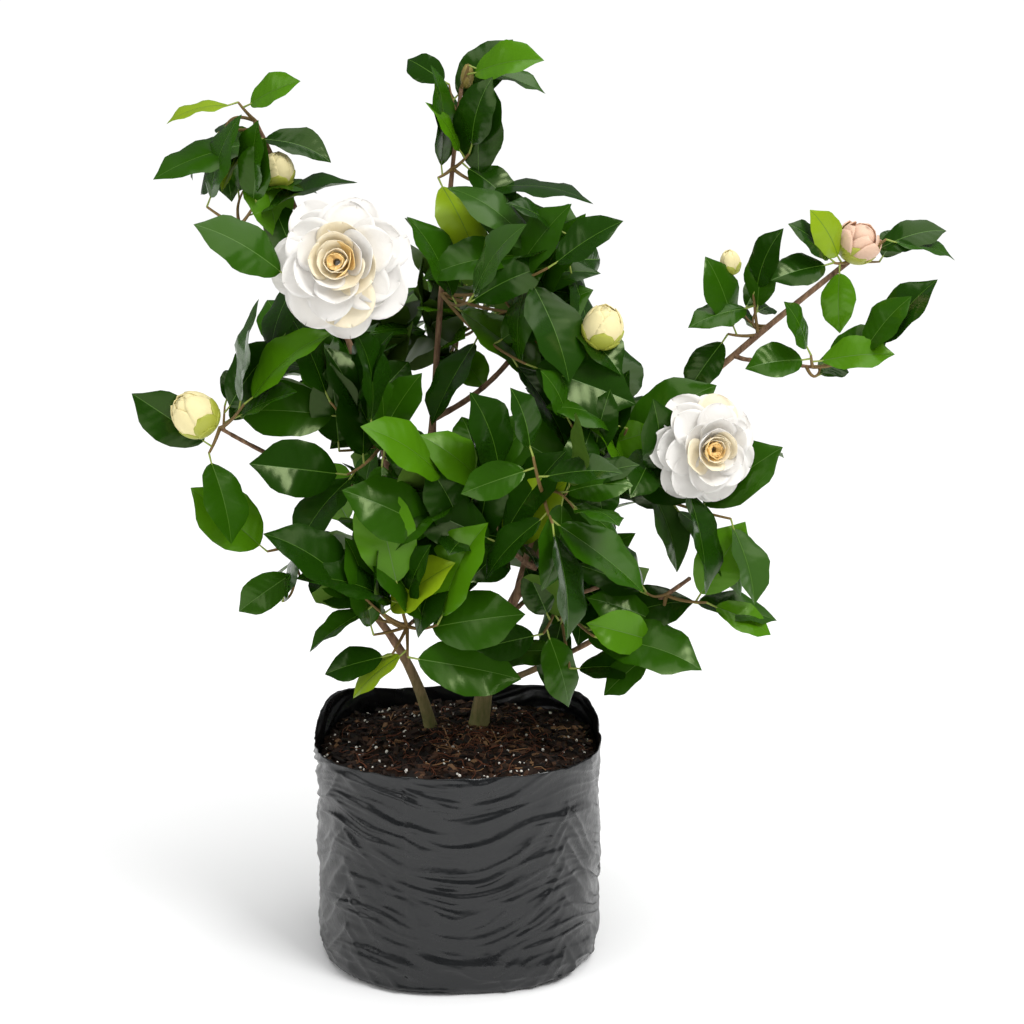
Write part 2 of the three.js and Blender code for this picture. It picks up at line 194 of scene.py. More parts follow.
def wrinkles(turn, z):
    """How far the film stands in or out, in metres, at a turn and a height.

    Soft bulges, long creases that sag between the corners, tension folds that fall away from
    each corner, and a crumpled foot. Each is a ridged noise on its own stretched lattice."""
    a, h = turn / (2 * np.pi), z / MM
    corner = np.abs((np.degrees(turn) + 45) % 90 - 45) / 45
    sag = 21 * (1 - np.cos(2 * np.pi * ((np.degrees(turn) + 45) % 90) / 90)) / 2
    drift = h + sag + 8 * noise(a * 7, h / 60, 11, 7) + 3.5 * noise(a * 23, h / 17, 24, 23)
    long_ = ridge(a * 9, drift / 8.2, 12, 9, 1.6) * (0.62 + 0.38 * noise(a * 8, h / 30, 13, 8))
    fine = ridge(a * 19, (drift + 5 * noise(a * 13, h / 24, 14, 13)) / 4.4, 15, 19, 1.3)
    fall = h + 1.15 * 85 * (1 - corner) + 9 * noise(a * 11, h / 30, 25, 11)
    folds = ridge(a * 10, fall / 13, 16, 10, 1.8) * np.exp(-((1 - corner) / 0.4) ** 2)
    crumple = ridge(a * 34 + h / 30, h / 9, 17, 34, 2.0) * np.exp(-h / 20)
    ledge = np.exp(-((h - 22 - 6 * noise(a * 7, 0 * h, 18, 7)) / 7) ** 2)
    free = np.clip((h - 118) / 50, 0, 1) ** 2
    out = 1.9 * noise(a * 8, h / 70, 19, 8) + 1.0 * noise(a * 19, h / 30, 20, 19)
    out = out + 2.7 * (long_ - 0.3) + 1.7 * (fine - 0.5) * (0.6 + 0.4 * noise(a * 9, h / 40, 21, 9))
    out = out + 1.8 * (folds - 0.2) + 4.6 * (crumple - 0.4) * np.exp(-h / 24) + 1.7 * ledge
    out = out - 0.9 * np.exp(-((np.degrees(turn) - 250) / 0.8) ** 2)
    out = out + free * (2.4 + 1.5 * noise(a * 16, h / 40, 22, 16) + 0.8 * noise(a * 47, h / 26, 23, 47))
    return out * MM * np.clip(h / 5, 0, 1) - 2.2 * MM


def bag_wall(turn, up, inset):
    """The film's wall: a rounded square drawn in over a small corner at the foot, plus wrinkles."""
    z = up * rim_height(turn)
    foot = np.clip(1 - z / (9 * MM), 0, 1)
    half = BAG_HALF - 1.5 * MM * (1 - up) - 7 * MM * (1 - np.sqrt(1 - foot ** 2)) - inset
    reach = outline(turn, half) + wrinkles(turn, z)
    return np.stack([reach * np.cos(turn), reach * np.sin(turn), z], -1)


def ring_faces(count, around):
    """Faces for rings of points in order from one end to the other, closed by a fan over each
    end's middle point. The two middle points follow the rings' own."""
    i, j = np.meshgrid(np.arange(count - 1), np.arange(around), indexing="ij")
    k = (j + 1) % around
    quads = np.stack([i * around + j, i * around + k, (i + 1) * around + k, (i + 1) * around + j], -1)
    e, last, total = np.arange(around), (count - 1) * around, count * around
    n = (e + 1) % around
    low_fan = np.stack([e * 0 + total, n, e], -1)
    high_fan = np.stack([e * 0 + total + 1, last + e, last + n], -1)
    return quads.reshape(-1, 4), np.concatenate([low_fan, high_fan])


def grow_bag():
    """The whole skin as rings from the middle of the underside, up, over the rim and down inside."""
    around, rows = ((420, 170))
    turn = np.linspace(0, 2 * np.pi, around, endpoint=False)[None, :]
    wall = bag_wall(turn, np.linspace(0, 1, rows)[:, None] + 0 * turn, 0)
    foot = wall[0][None] * np.array([0.3, 0.6, 0.85, 0.96])[:, None, None]
    inside = bag_wall(turn, np.linspace(0.998, 0.84, 22)[:, None] + 0 * turn, 0.9 * MM)
    rim = (wall[-1] + inside[0]) / 2 + np.array([0, 0, 0.35 * MM])
    rings = np.concatenate([foot, wall, rim[None], inside])
    floor = [[0, 0, 0], [0, 0, inside[-1][:, 2].mean()]]
    return np.concatenate([rings.reshape(-1, 3), floor]), ring_faces(len(rings), around)


# Black blown film, a little dusty: satin, with crinkles of a few millimetres in the gloss.
film, tree, shader = finish("black polythene film", "#0f1113", 0.3, Specular_IOR_Level=0.5)
crinkle, dust = speckle(tree, 170.0, 4.0, 0.6), speckle(tree, 45.0, 6.0, 0.7)
matt = node(tree, "MapRange", {"Value": dust, "From Min": 0.35, "From Max": 0.75,
                               "To Min": 0.24, "To Max": 0.42})
tree.links.new(matt.outputs["Result"], shader.inputs["Roughness"])
relief(tree, shader, crinkle, 0.35, 1.2 * MM)

points, polygons = grow_bag()
bag = piece("grow_bag_film", points, polygons, [film])
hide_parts("grow_bag")

# ---------------------------------------------------------------- Potting mix
# Composted bark and coir, watered down to a low mound, with bark chips, white perlite and
# reddish feeder roots lying on it. A rough heightfield carries loose chips, grains and roots.


MIX_EDGE, MIX_MOUND, MIX_UNDER = 154.2, 7.0, 146 * MM


def mix_height(x, y):
    """Height of the mix: a low mound off the bag's edge level, with clods and crumbs on it."""
    out = np.sqrt(x * x + y * y) / (BAG_HALF - 3 * MM)
    clods = 2.2 * noise(x / (14 * MM) + 20, y / (14 * MM) + 20, 31)
    clods = clods + 1.5 * noise(x / (6 * MM) + 40, y / (6 * MM) + 30, 32)
    crumbs = 0.7 * noise(x / (2.6 * MM) + 90, y / (2.6 * MM) + 90, 33, 128)
    return (MIX_EDGE + MIX_MOUND * np.clip(1 - out ** 2, 0, 1) + clods + crumbs) * MM


def mix_bed():
    """Rings of the mound out to the film's inside, then a short skirt and a level underside."""
    around, rows = ((280, 110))
    turn = np.linspace(0, 2 * np.pi, around, endpoint=False)[None, :]
    walls = [bag_wall(turn, turn * 0 + up, 0) for up in np.linspace(0.84, 1, 12)]
    edge = np.min([np.hypot(wall[..., 0], wall[..., 1]) for wall in walls], 0) - 1.6 * MM
    reach = np.linspace(0.01, 1, rows)[:, None] * edge
    x, y = reach * np.cos(turn), reach * np.sin(turn)
    top = np.stack([x, y, mix_height(x, y)], -1)
    under = top[-1][None].repeat(2, 0)
    under[:, :, 2] = MIX_UNDER
    under[1, :, :2] *= 0.5
    rings = np.concatenate([top, under])
    poles = [[0, 0, top[0][:, 2].mean()], [0, 0, MIX_UNDER]]
    # These rings run out and down, so each face is turned over.
    quads, caps = ring_faces(len(rings), around)
    return np.concatenate([rings.reshape(-1, 3), poles]), [quads[:, [0, 3, 2, 1]], caps[:, [0, 2, 1]]]


def turned(count, dice, tilt):
    """Random rotation matrices (count, 3, 3): any turn about Z after a tilt up to `tilt` radians."""
    a = dice.uniform(0, 2 * np.pi, count)
    b, c = dice.uniform(-tilt, tilt, count), dice.uniform(-tilt, tilt, count)
    zero, one = np.zeros(count), np.ones(count)
    rows = lambda *m: np.stack(m, -1).reshape(count, 3, 3)
    spin = rows(np.cos(a), -np.sin(a), zero, np.sin(a), np.cos(a), zero, zero, zero, one)
    nod = rows(one, zero, zero, zero, np.cos(b), -np.sin(b), zero, np.sin(b), np.cos(b))
    roll = rows(np.cos(c), zero, np.sin(c), zero, one, zero, -np.sin(c), zero, np.cos(c))
    return spin @ nod @ roll


def lumps(centres, sizes, turns, shape, faces):
    """Copies of one small closed shape, each with its own size (n, 3) and rotation."""
    placed = np.einsum("nij,nvj->nvi", turns, shape[None] * sizes[:, None, :]) + centres[:, None, :]
    step = np.arange(len(centres))[:, None, None] * shape.shape[0]
    return placed.reshape(-1, 3), (faces[None] + step).reshape(-1, faces.shape[1])


def scatter(count, dice, reach):
    """Points on the mix, evenly over its disc out to a fraction of its edge."""
    turn, out = dice.uniform(0, 2 * np.pi, count), np.sqrt(dice.uniform(0, 1, count)) * reach
    r = out * (outline(turn, BAG_HALF - 4 * MM) + wrinkles(turn, 0 * turn + 155 * MM))
    x, y = r * np.cos(turn), r * np.sin(turn)
    return np.stack([x, y, mix_height(x, y)], -1)


compost, tree, shader = finish("damp composted bark", "#2a1a11", 0.9, Specular_IOR_Level=0.25)
crumb = speckle(tree, 420.0, 5.0, 0.7)
shade = two_tone(tree, crumb, ("#0a0503", 0.36), ("#3a2415", 0.72))
tree.links.new(shade, shader.inputs["Base Color"])
relief(tree, shader, crumb, 0.9, 1.5 * MM)
points, polygons = mix_bed()
bed = piece("potting_mix_bed", points, polygons, [compost])
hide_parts("potting_mix")

dice = np.random.default_rng(41)
BOX = np.array([[x, y, z] for x in (-1, 1) for y in (-1, 1) for z in (-1, 1)]) / 2.0
BOX_FACES = np.array([[0, 1, 3, 2], [4, 6, 7, 5], [0, 4, 5, 1], [2, 3, 7, 6], [0, 2, 6, 4], [1, 5, 7, 3]])
chip_colours = ("#170d07", "#2b190e", "#4a2f1c", "#7a5a3c")
chip_tones = [finish("weathered bark chip", tone, 0.85)[0] for tone in chip_colours]
chip_count = 1500
centres = scatter(chip_count, dice, 0.985)
centres[:, 2] += dice.uniform(-0.4, 1.6, chip_count) * MM
spread = ((2.5, 9), (1.5, 4.5), (0.7, 2.2))
sizes = np.stack([dice.uniform(least, most, chip_count) for least, most in spread], -1) * MM
points, quads = lumps(centres, sizes, turned(chip_count, dice, 0.5), BOX, BOX_FACES)
points = points + dice.normal(0, 0.32 * MM, points.shape)
tones = dice.choice(4, chip_count, p=[0.44, 0.34, 0.16, 0.06]).repeat(6)
piece("bark_chips", points, [quads], chip_tones, [tones], flat=True)

golden = (1 + math.sqrt(5)) / 2
BALL = np.array([[-1, golden, 0], [1, golden, 0], [-1, -golden, 0], [1, -golden, 0],
                 [0, -1, golden], [0, 1, golden], [0, -1, -golden], [0, 1, -golden],
                 [golden, 0, -1], [golden, 0, 1], [-golden, 0, -1], [-golden, 0, 1]]) / 3.8
BALL_FACES = np.array([[0, 11, 5], [0, 5, 1], [0, 1, 7], [0, 7, 10], [0, 10, 11], [1, 5, 9], [5, 11, 4],
                       [11, 10, 2], [10, 7, 6], [7, 1, 8], [3, 9, 4], [3, 4, 2], [3, 2, 6], [3, 6, 8],
                       [3, 8, 9], [4, 9, 5], [2, 4, 11], [6, 2, 10], [8, 6, 7], [9, 8, 1]])
perlite = finish("expanded perlite", "#efeae0", 0.8)[0]
grain_count = 300
centres = scatter(grain_count, dice, 0.97)
centres[:, 2] += 0.7 * MM
sizes = dice.uniform(0.9, 2.7, (grain_count, 1)) * dice.uniform(0.8, 1.2, (grain_count, 3)) * MM
points, faces = lumps(centres, sizes, turned(grain_count, dice, 3), BALL, BALL_FACES)
points = points + dice.normal(0, 0.1 * MM, points.shape)
piece("perlite_grains", points, [faces], [perlite], flat=True)


def tubes(lines, radii, sides):
    """Closed tubes about many centrelines at once.

    lines (n, s, 3) and radii (n, s): a ring of `sides` points stands square to each
    centreline at every station, and a point closes each end."""
    count, steps = lines.shape[:2]
    along = np.gradient(lines, axis=1)
    along /= np.linalg.norm(along, axis=2, keepdims=True) + 1e-12
    up = np.where(np.abs(along[:, :1, 2:3]) > 0.9, [[[1.0, 0, 0]]], [[[0, 0, 1.0]]])
    side = np.cross(along, up + 0 * along)
    side /= np.linalg.norm(side, axis=2, keepdims=True) + 1e-12
    other = np.cross(along, side)
    turn = np.arange(sides) * 2 * np.pi / sides
    ring = side[:, :, None] * np.cos(turn)[:, None] + other[:, :, None] * np.sin(turn)[:, None]
    rings = lines[:, :, None] + ring * radii[:, :, None, None]
    foot_ends, tip_ends = along[:, 0] * radii[:, :1] * 0.3, along[:, -1] * radii[:, -1:] * 0.8
    ends = np.stack([lines[:, 0] - foot_ends, lines[:, -1] + tip_ends], 1)
    points = np.concatenate([rings.reshape(count, -1, 3), ends], 1)
    step = np.arange(count)[:, None, None] * points.shape[1]
    faces = [(part + step).reshape(-1, part.shape[1]) for part in ring_faces(steps, sides)]
    return points.reshape(-1, 3), faces


# Half the roots gather round the stem's foot, and none runs further from the middle than ROOT_REACH.
STEM_FOOT, ROOT_REACH = np.array([22, 0]) * MM, 98 * MM
root_tones = [finish("feeder root", tone, 0.75)[0] for tone in ("#6a3a20", "#3f2110", "#96704a")]
root_count, stations = 420, np.linspace(0, 1, 7)
feet = scatter(root_count, dice, 0.9)
near = dice.uniform(0, 1, root_count) < 0.5
feet[near, :2] = STEM_FOOT + dice.normal(0, 26 * MM, (near.sum(), 2))
turn, bend = dice.uniform(0, 2 * np.pi, root_count), dice.uniform(-1.6, 1.6, root_count)
length = dice.uniform(6, 34, root_count) * MM
angle, out = turn[:, None] + bend[:, None] * stations, length[:, None] * stations
lines = np.stack([feet[:, :1] + out * np.cos(angle), feet[:, 1:2] + out * np.sin(angle), 0 * angle], -1)
inside = np.hypot(lines[..., 0], lines[..., 1]).max(1) < ROOT_REACH
lines = lines[inside]
loops = 0.8 + dice.uniform(0, 3.0, (len(lines), 1)) * np.sin(np.pi * stations) ** 2
lines[..., 2] = mix_height(lines[..., 0], lines[..., 1]) + loops * MM
radii = dice.uniform(0.22, 0.62, (len(lines), 1)) * MM * (1 - 0.6 * stations)
points, polygons = tubes(lines, radii, 5)
tones = dice.choice(3, len(lines), p=[0.5, 0.35, 0.15])
which = [tones.repeat(len(part) // len(lines)) for part in polygons]
piece("feeder_roots", points, polygons, root_tones, which)

# ---------------------------------------------------------------- Trunk and boughs
# Grey-brown camellia wood, smooth with fine lengthwise cracks, green at the foot with algae.
# Each limb follows the curve of its CAD node and runs on into its mass of foliage.

# Limb, the limb it springs from, and how far it runs on past the end of its node (mm).
LIMBS = [("trunk", None, 0), ("stem_low_left", None, 26), ("leader_right", "trunk", 0),
         ("arm_right", "leader_right", 42), ("leader_parallel", "leader_right", 60),
         ("leader_centre", "trunk", 0), ("leader_top", "leader_centre", 18), ("leader_left", "trunk", 0),
         ("leader_top_left", "leader_left", 36), ("bough_far_left", "leader_top_left", 34),
         ("bough_mid_left", "leader_left", 36), ("bough_low_right", "trunk", 50),
         ("bough_inner_right", "leader_right", 8), ("bough_upper_right", "leader_top", 24),
         ("bough_arm_mid", "arm_right", 22), ("bough_front", "leader_left", 40),
         ("bough_core", "leader_right", 36), ("bough_front_centre", "leader_right", 30),
         ("bough_back_left", "leader_centre", 44), ("bough_back_low_left", "leader_centre", 40),
         ("bough_back_low_right", "leader_right", 40), ("bough_back", "leader_top", 50)]


# A limb shorter than this gets a straight centreline.
SHORT_LIMB = 60 * MM


def node_points(name):
    """The vertices of a CAD node, (n, 3), in metres."""
    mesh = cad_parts[name].data
    co = np.empty(len(mesh.vertices) * 3)
    mesh.vertices.foreach_get("co", co)
    return co.reshape(-1, 3)


def limb_curve(name, origin):
    """A quadratic centreline (3, 3) over 0 to 1 fitted through a limb's vertices, with its radii.
    A short limb gets a straight one."""
    co = node_points(name)
    middle = co.mean(0)
    axis = np.linalg.svd(co - middle)[2][0]
    along = (co - middle) @ axis
    foot, tip = middle + axis * along.min(), middle + axis * along.max()
    if np.linalg.norm(foot - origin) > np.linalg.norm(tip - origin):
        axis, along = -axis, -along
    share = (along - along.min()) / (along.max() - along.min())
    bent = along.max() - along.min() > SHORT_LIMB
    curve = np.polyfit(share, co, 2) if bent else np.vstack([np.zeros(3), np.polyfit(share, co, 1)])
    off = np.linalg.norm(co - (share[:, None] ** 2 * curve[0] + share[:, None] * curve[1] + curve[2]), axis=1)
    thick = np.polyfit(share, off, 1)
    return curve, (max(thick[1], 1.2 * MM), max(thick[0] + thick[1], 0.9 * MM))


curves, spans = {}, {}
for name, parent, runs_on in LIMBS:
    low, high = (np.array(corner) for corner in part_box(name))
    if parent is None:
        foot = (low + high) / 2 if name == "trunk" else high
        origin = np.array([foot[0], foot[1], low[2]])
    else:
        steps = np.linspace(0, 1, 40)[:, None]
        spine = steps ** 2 * curves[parent][0][0] + steps * curves[parent][0][1] + curves[parent][0][2]
        co = node_points(name)
        origin = spine[np.argmin(np.linalg.norm(spine[:, None] - co[None], axis=2).min(1))]
    curves[name] = limb_curve(name, origin)
    spans[name] = 1 + runs_on * MM / np.linalg.norm(curves[name][0][0] + curves[name][0][1])


def on_limb(name, share):
    """The point at a share of a limb: 0 its foot, 1 its growing end, past its CAD node."""
    curve = curves[name][0]
    s = np.asarray(share, float)[..., None] * spans[name]
    return s ** 2 * curve[0] + s * curve[1] + curve[2]


def limb_line(name, parent):
    """A limb's centreline and radii: tapering along its curve, flared where it leaves its parent."""
    share = np.linspace(-0.02 if parent is None else 0, 1, 60)
    line = on_limb(name, share)
    if parent is not None:
        spine = on_limb(parent, np.linspace(0, 1, 80))
        root = spine[np.argmin(np.linalg.norm(spine - line[0], axis=1))]
        line = line + np.clip(1 - share * 6, 0, 1)[:, None] ** 2 * (root - line[0])
    first, last = curves[name][1]
    radius = first + (last - first) * np.clip(share * spans[name], 0, 1)
    radius = radius * np.where(share * spans[name] > 1, 1 - 0.35 * (share * spans[name] - 1), 1)
    flare = 1 + 0.28 * np.exp(-share / 0.035)
    radius = radius * flare + 0.16 * MM * noise(share * 40, 0 * share, len(name), 64)
    return line[None], radius[None]


bark, tree, shader = finish("camellia bark", "#7a5a43", 0.8, Specular_IOR_Level=0.3)
stretch = node(tree, "Mapping", {"Vector": place(tree), "Scale": (260.0, 260.0, 60.0)})
grain = speckle(tree, 1.0, 5.0, 0.65, stretch.outputs["Vector"])
tone = two_tone(tree, grain, ("#4d3524", 0.3), ("#a58366", 0.75))
height = node(tree, "SeparateXYZ", {"Vector": place(tree)})
low_down = node(tree, "MapRange", {"Value": height.outputs["Z"], "From Min": 0.235, "From Max": 0.165,
                                   "To Min": 0.0, "To Max": 0.55})
algae = node(tree, "MixRGB", {"Fac": low_down.outputs["Result"], "Color1": tone,
                              "Color2": linear("#7d8a4c")})
tree.links.new(algae.outputs["Color"], shader.inputs["Base Color"])
relief(tree, shader, grain, 0.8, 1.2 * MM)

for name, parent, runs_on in LIMBS:
    line, radius = limb_line(name, parent)
    points, polygons = tubes(line, radius, 14)
    limb = piece(name + "_bark", points, polygons, [bark])
    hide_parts(name)

line = on_limb("bough_low_right", 0.04) + np.linspace(0, 1, 6)[:, None] * np.array([9, -14, 16]) * MM
points, polygons = tubes(line[None], np.full((1, 6), 2.6 * MM), 12)
piece("cut_snag", points, polygons, [bark])

# ---------------------------------------------------------------- Twigs and leaves
# Camellia leaves: leathery and glossy, toothed at the margin, folded along a pale midrib and
# arching to a drawn-out tip, on short stalks. Dark when old, lime when just out; the deep green is
# also painted shade, dealt mostly to the leaves that sit in shade inside the crown. Every leaf is
# one closed blade grown on a twig, and the twigs grow on from the boughs.

STATIONS = 13


def blade_shape():
    """Blade template: (share along, share across) of each vertex, and its faces by finish.

    Upper side: margin, middle of the half, midrib edge, and the same again across. Lower
    side: the midline only; it shares the margin. Two points close the base and the tip."""
    along = np.linspace(0.0, 1, STATIONS + 2)[1:-1]
    along = 0.45 * along + 0.55 * (0.5 - 0.5 * np.cos(np.pi * along))
    across = np.array([-1, -0.52, -0.045, 0.045, 0.52, 1, 0])
    grid = np.stack([along[:, None] + 0 * across, across + 0 * along[:, None]], -1).reshape(-1, 2)
    spots = np.concatenate([grid, [[0, 0], [1, 0]]])
    wide, base, tip = 7, STATIONS * 7, STATIONS * 7 + 1
    top, rib, under, ends = [], [], [], []
    for i in range(STATIONS - 1):
        a, b = i * wide, (i + 1) * wide
        for c in (0, 1, 3, 4):
            top.append([a + c, b + c, b + c + 1, a + c + 1][::-1])
        rib.append([a + 2, b + 2, b + 3, a + 3][::-1])
        under.append([a, b, b + 6, a + 6])
        under.append([a + 6, b + 6, b + 5, a + 5])
    last = (STATIONS - 1) * wide
    for c in range(5):
        ends.append([base, c + 1, c])
        ends.append([tip, last + c, last + c + 1])
    ends += [[base, 0, 6], [base, 6, 5], [tip, last + 6, last], [tip, last + 5, last + 6]]
    return spots, np.array(top), np.array(rib), np.array(under), np.array(ends)


SPOTS, TOP, RIB, UNDER, ENDS = blade_shape()
# The finish of each end face in turn: the upper side's, the midrib's in the middle, and last the
# underside's.
END_KIND = np.array([0, 0, 0, 0, 1, 1, 0, 0, 0, 0, 2, 2, 2, 2])


def half_width(share):
    """A leaf's half width over its length, its widest being one: share^0.7 (1 - share)^0.72, scaled,
    and drawn in over the last fifth to a drip tip."""
    raw = np.clip(share, 0, 1) ** 0.7 * np.clip(1 - share, 0, 1) ** 0.72
    return raw / 0.3738 * (1 - 0.62 * np.clip((share - 0.76) / 0.24, 0, 1))


def unit(v):
    """Each vector at length one."""
    return v / (np.linalg.norm(v, axis=-1, keepdims=True) + 1e-12)


def blades(base, ahead, face, length, width, fold, arch, dice):
    """Leaf blades (n, v, 3) from base points, directions, upper-side normals and sizes.

    The midrib is an arc of `arch` radians, steeper near the tip, scaled so that base to tip is
    `length`; each half rises off it by `fold` radians and curls back a little at the margin."""
    count = len(base)
    ahead = unit(ahead)
    face = unit(face - ahead * (face * ahead).sum(-1, keepdims=True))
    side = np.cross(face, ahead)
    share = np.linspace(0, 1, 33)
    slope = -arch[:, None] * (share ** 1.5 - 0.4)
    run = np.cumsum(np.cos(slope), 1) - np.cos(slope)
    rise = np.cumsum(np.sin(slope), 1) - np.sin(slope)
    chord = np.hypot(run[:, -1], rise[:, -1])[:, None]
    tilt = np.arctan2(rise[:, -1], run[:, -1])[:, None]
    x = (run * np.cos(tilt) + rise * np.sin(tilt)) / chord
    z = (rise * np.cos(tilt) - run * np.sin(tilt)) / chord
    s, u = SPOTS[:, 0], SPOTS[:, 1]
    at = s * 32
    i = np.clip(np.floor(at).astype(int), 0, 31)
    f = at - i
    mid_x, mid_z = x[:, i] * (1 - f) + x[:, i + 1] * f, z[:, i] * (1 - f) + z[:, i + 1] * f
    teeth = 1 + 0.01 * np.where(np.arange(len(s)) // 7 % 2 == 0, 1, -1) * (np.abs(u) > 0.9)
    half = half_width(s) * teeth * width[:, None] / 2
    rib_off = np.abs(u) < 0.1
    out = np.where(rib_off, u / 0.045 * np.minimum((0.36 - 0.22 * s) * MM, half * 0.3), u * half)
    up = np.abs(out) * np.tan(fold[:, None]) - (np.abs(u) ** 3) * half * 0.22
    phase = dice.uniform(0, 2 * np.pi, (count, 1))
    up = up + 0.09 * half * np.abs(u) ** 2 * np.sin(2 * np.pi * 2.3 * s + phase + np.sign(u) * 0.9)
    thick = np.where(np.arange(len(s)) % 7 == 6, -0.35 * MM, 0)
    thick[-2:] = 0
    curl = dice.uniform(-0.25, 0.25, (count, 1)) * s
    out, up = out * np.cos(curl) - up * np.sin(curl), out * np.sin(curl) + up * np.cos(curl)
    local = length[:, None]
    return (base[:, None] + ahead[:, None] * (mid_x * local)[..., None] + side[:, None] * out[..., None]
            + face[:, None] * (mid_z * local + up + thick)[..., None])


twig_lines, twig_radii, stalks, leaf_rows = [], [], [], []


def bowed(start, end, bow, steps):
    """A curve between two points with its middle pushed aside by `bow`."""
    s = np.linspace(0, 1, steps)[:, None]
    return start + (end - start) * s + bow * 4 * s * (1 - s)


def middle_and_half(name):
    """The middle of a CAD node's box, and half its size along each axis."""
    low, high = (np.array(corner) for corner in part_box(name))
    return (low + high) / 2, (high - low) / 2


def off_middle(mass, right, back, up):
    """A place so many millimetres right, back and up of a mass's middle."""
    return middle_and_half(mass)[0] + np.array([right, back, up]) * MM


def leaf_axes(turn, lean, roll):
    """A leaf's direction and its upper side's normal, from its turn as seen from the front, the
    lean of its tip toward the front, and how far it is rolled about its length to the sky."""
    ahead = np.array([math.cos(turn) * math.cos(lean), -math.sin(lean), math.sin(turn) * math.cos(lean)])
    front = np.array([0.0, -1.0, 0.0])
    front = unit(front - ahead * (front @ ahead))
    sky = np.cross(ahead, front)
    sky = -sky if sky[2] < 0 else sky
    return ahead, unit(front * math.cos(roll) + sky * math.sin(roll))


# The crown grows by a branching rule: from each mass's limb, shoots fan out through the mass and
# bear leaves in turn about them, each turned outward and to the sky.
# Mass, limb, shoots, leaves on a shoot, how much of the mass's front is left to the outermost leaves.
GROWTH = [("foliage_crown_top", "leader_top", 1, 3, 0.6),
          ("foliage_crown_upper", "leader_top", 2, 3, 0.5),
          ("foliage_top_left", "leader_top_left", 2, 3, 0.6),
          ("foliage_far_left", "bough_far_left", 1, 3, 0.6),
          ("foliage_bloom_left", "leader_top_left", 4, 4, 0.5),
          ("foliage_upper_right", "bough_upper_right", 2, 4, 0.5),
          ("foliage_centre_high", "leader_top", 4, 4, 0.35),
          ("foliage_left_centre", "leader_left", 4, 4, 0.3),
          ("foliage_mid_left", "bough_mid_left", 1, 4, 0.6),
          ("foliage_low_left", "stem_low_left", 2, 3, 0.6),
          ("foliage_lower_left", "bough_front", 3, 4, 0.35), ("foliage_core", "bough_core", 5, 5, 0.2),
          ("foliage_right_centre", "leader_right", 5, 4, 0.35),
          ("foliage_front_centre", "bough_front_centre", 2, 4, 0.3),
          ("foliage_arm_tip", "arm_right", 1, 2, 0.7), ("foliage_arm_inner", "arm_right", 2, 3, 0.6),
          ("foliage_arm_mid", "bough_arm_mid", 1, 3, 0.7),
          ("foliage_bloom_right", "leader_right", 3, 4, 0.5),
          ("foliage_low_right", "bough_low_right", 1, 4, 0.6),
          ("foliage_lower_right", "bough_inner_right", 2, 3, 0.5),
          ("foliage_back_left", "bough_back_left", 10, 6, 0.0),
          ("foliage_back_low_left", "bough_back_low_left", 10, 6, 0.0),
          ("foliage_back_right", "leader_parallel", 10, 6, 0.0),
          ("foliage_back_low_right", "bough_back_low_right", 10, 6, 0.0),
          ("foliage_back_centre", "bough_back", 9, 6, 0.0)]

# Where the crown is open to the sky between its masses, or to a bloom or bud: for a mass, how
# far right and up of its middle each gap lies, and the gap's radius (mm). No leaf grows across.
SKY_GAPS = {"foliage_crown_upper": [(-40, -5, 25), (50, 25, 25)], "foliage_crown_top": [(20, -20, 15)],
            "foliage_centre_high": [(80, 5, 35), (95, -40, 25), (-25, -40, 15), (50, -10, 15)],
            "foliage_bloom_right": [(70, 50, 15), (50, -5, 20), (-20, 20, 35)],
            "foliage_low_right": [(45, -30, 25), (60, 50, 20)],
            "foliage_left_centre": [(-35, -5, 20), (-40, -55, 25), (0, -60, 15)],
            "foliage_low_left": [(15, -30, 20), (-45, -10, 20)], "foliage_lower_left": [(-65, 0, 15)],
            "foliage_top_left": [(-30, -10, 10), (-35, 25, 15), (30, -35, 15)],
            "foliage_bloom_left": [(-70, -10, 20), (5, 0, 45)], "foliage_far_left": [(-40, -15, 15)],
            "foliage_mid_left": [(-15, 40, 30), (-40, -40, 20), (15, -45, 15), (-10, 5, 15)],
            "foliage_arm_mid": [(-10, -40, 20)], "foliage_upper_right": [(60, -10, 15)],
            "foliage_lower_right": [(30, -75, 20)], "foliage_arm_inner": [(-5, 35, 10)],
            "foliage_arm_tip": [(-5, 5, 15)]}
VIEWPOINT = np.array([40, -1400, 640]) * MM


def seen(spots):
    """Where points stand as seen from VIEWPOINT, which is the camera's place: slid along the line
    of sight to the plane through the trunk, right and up."""
    away = (spots - VIEWPOINT) * (-VIEWPOINT[1] / (spots[..., 1:2] - VIEWPOINT[1]))
    return (VIEWPOINT + away)[..., [0, 2]]


gap_middles = seen(np.array([off_middle(mass, right, 0, up) for mass, holes in SKY_GAPS.items()
                             for right, up, reach in holes]))
gap_reaches = np.array([reach for holes in SKY_GAPS.values() for right, up, reach in holes]) * MM


def crosses_sky(*spots):
    """Whether any of each row's points, seen from the front, lies in one of the gaps."""
    away = np.linalg.norm(seen(np.array(spots))[..., None, :] - gap_middles, axis=-1)
    return (away < gap_reaches).any(-1).any(0)
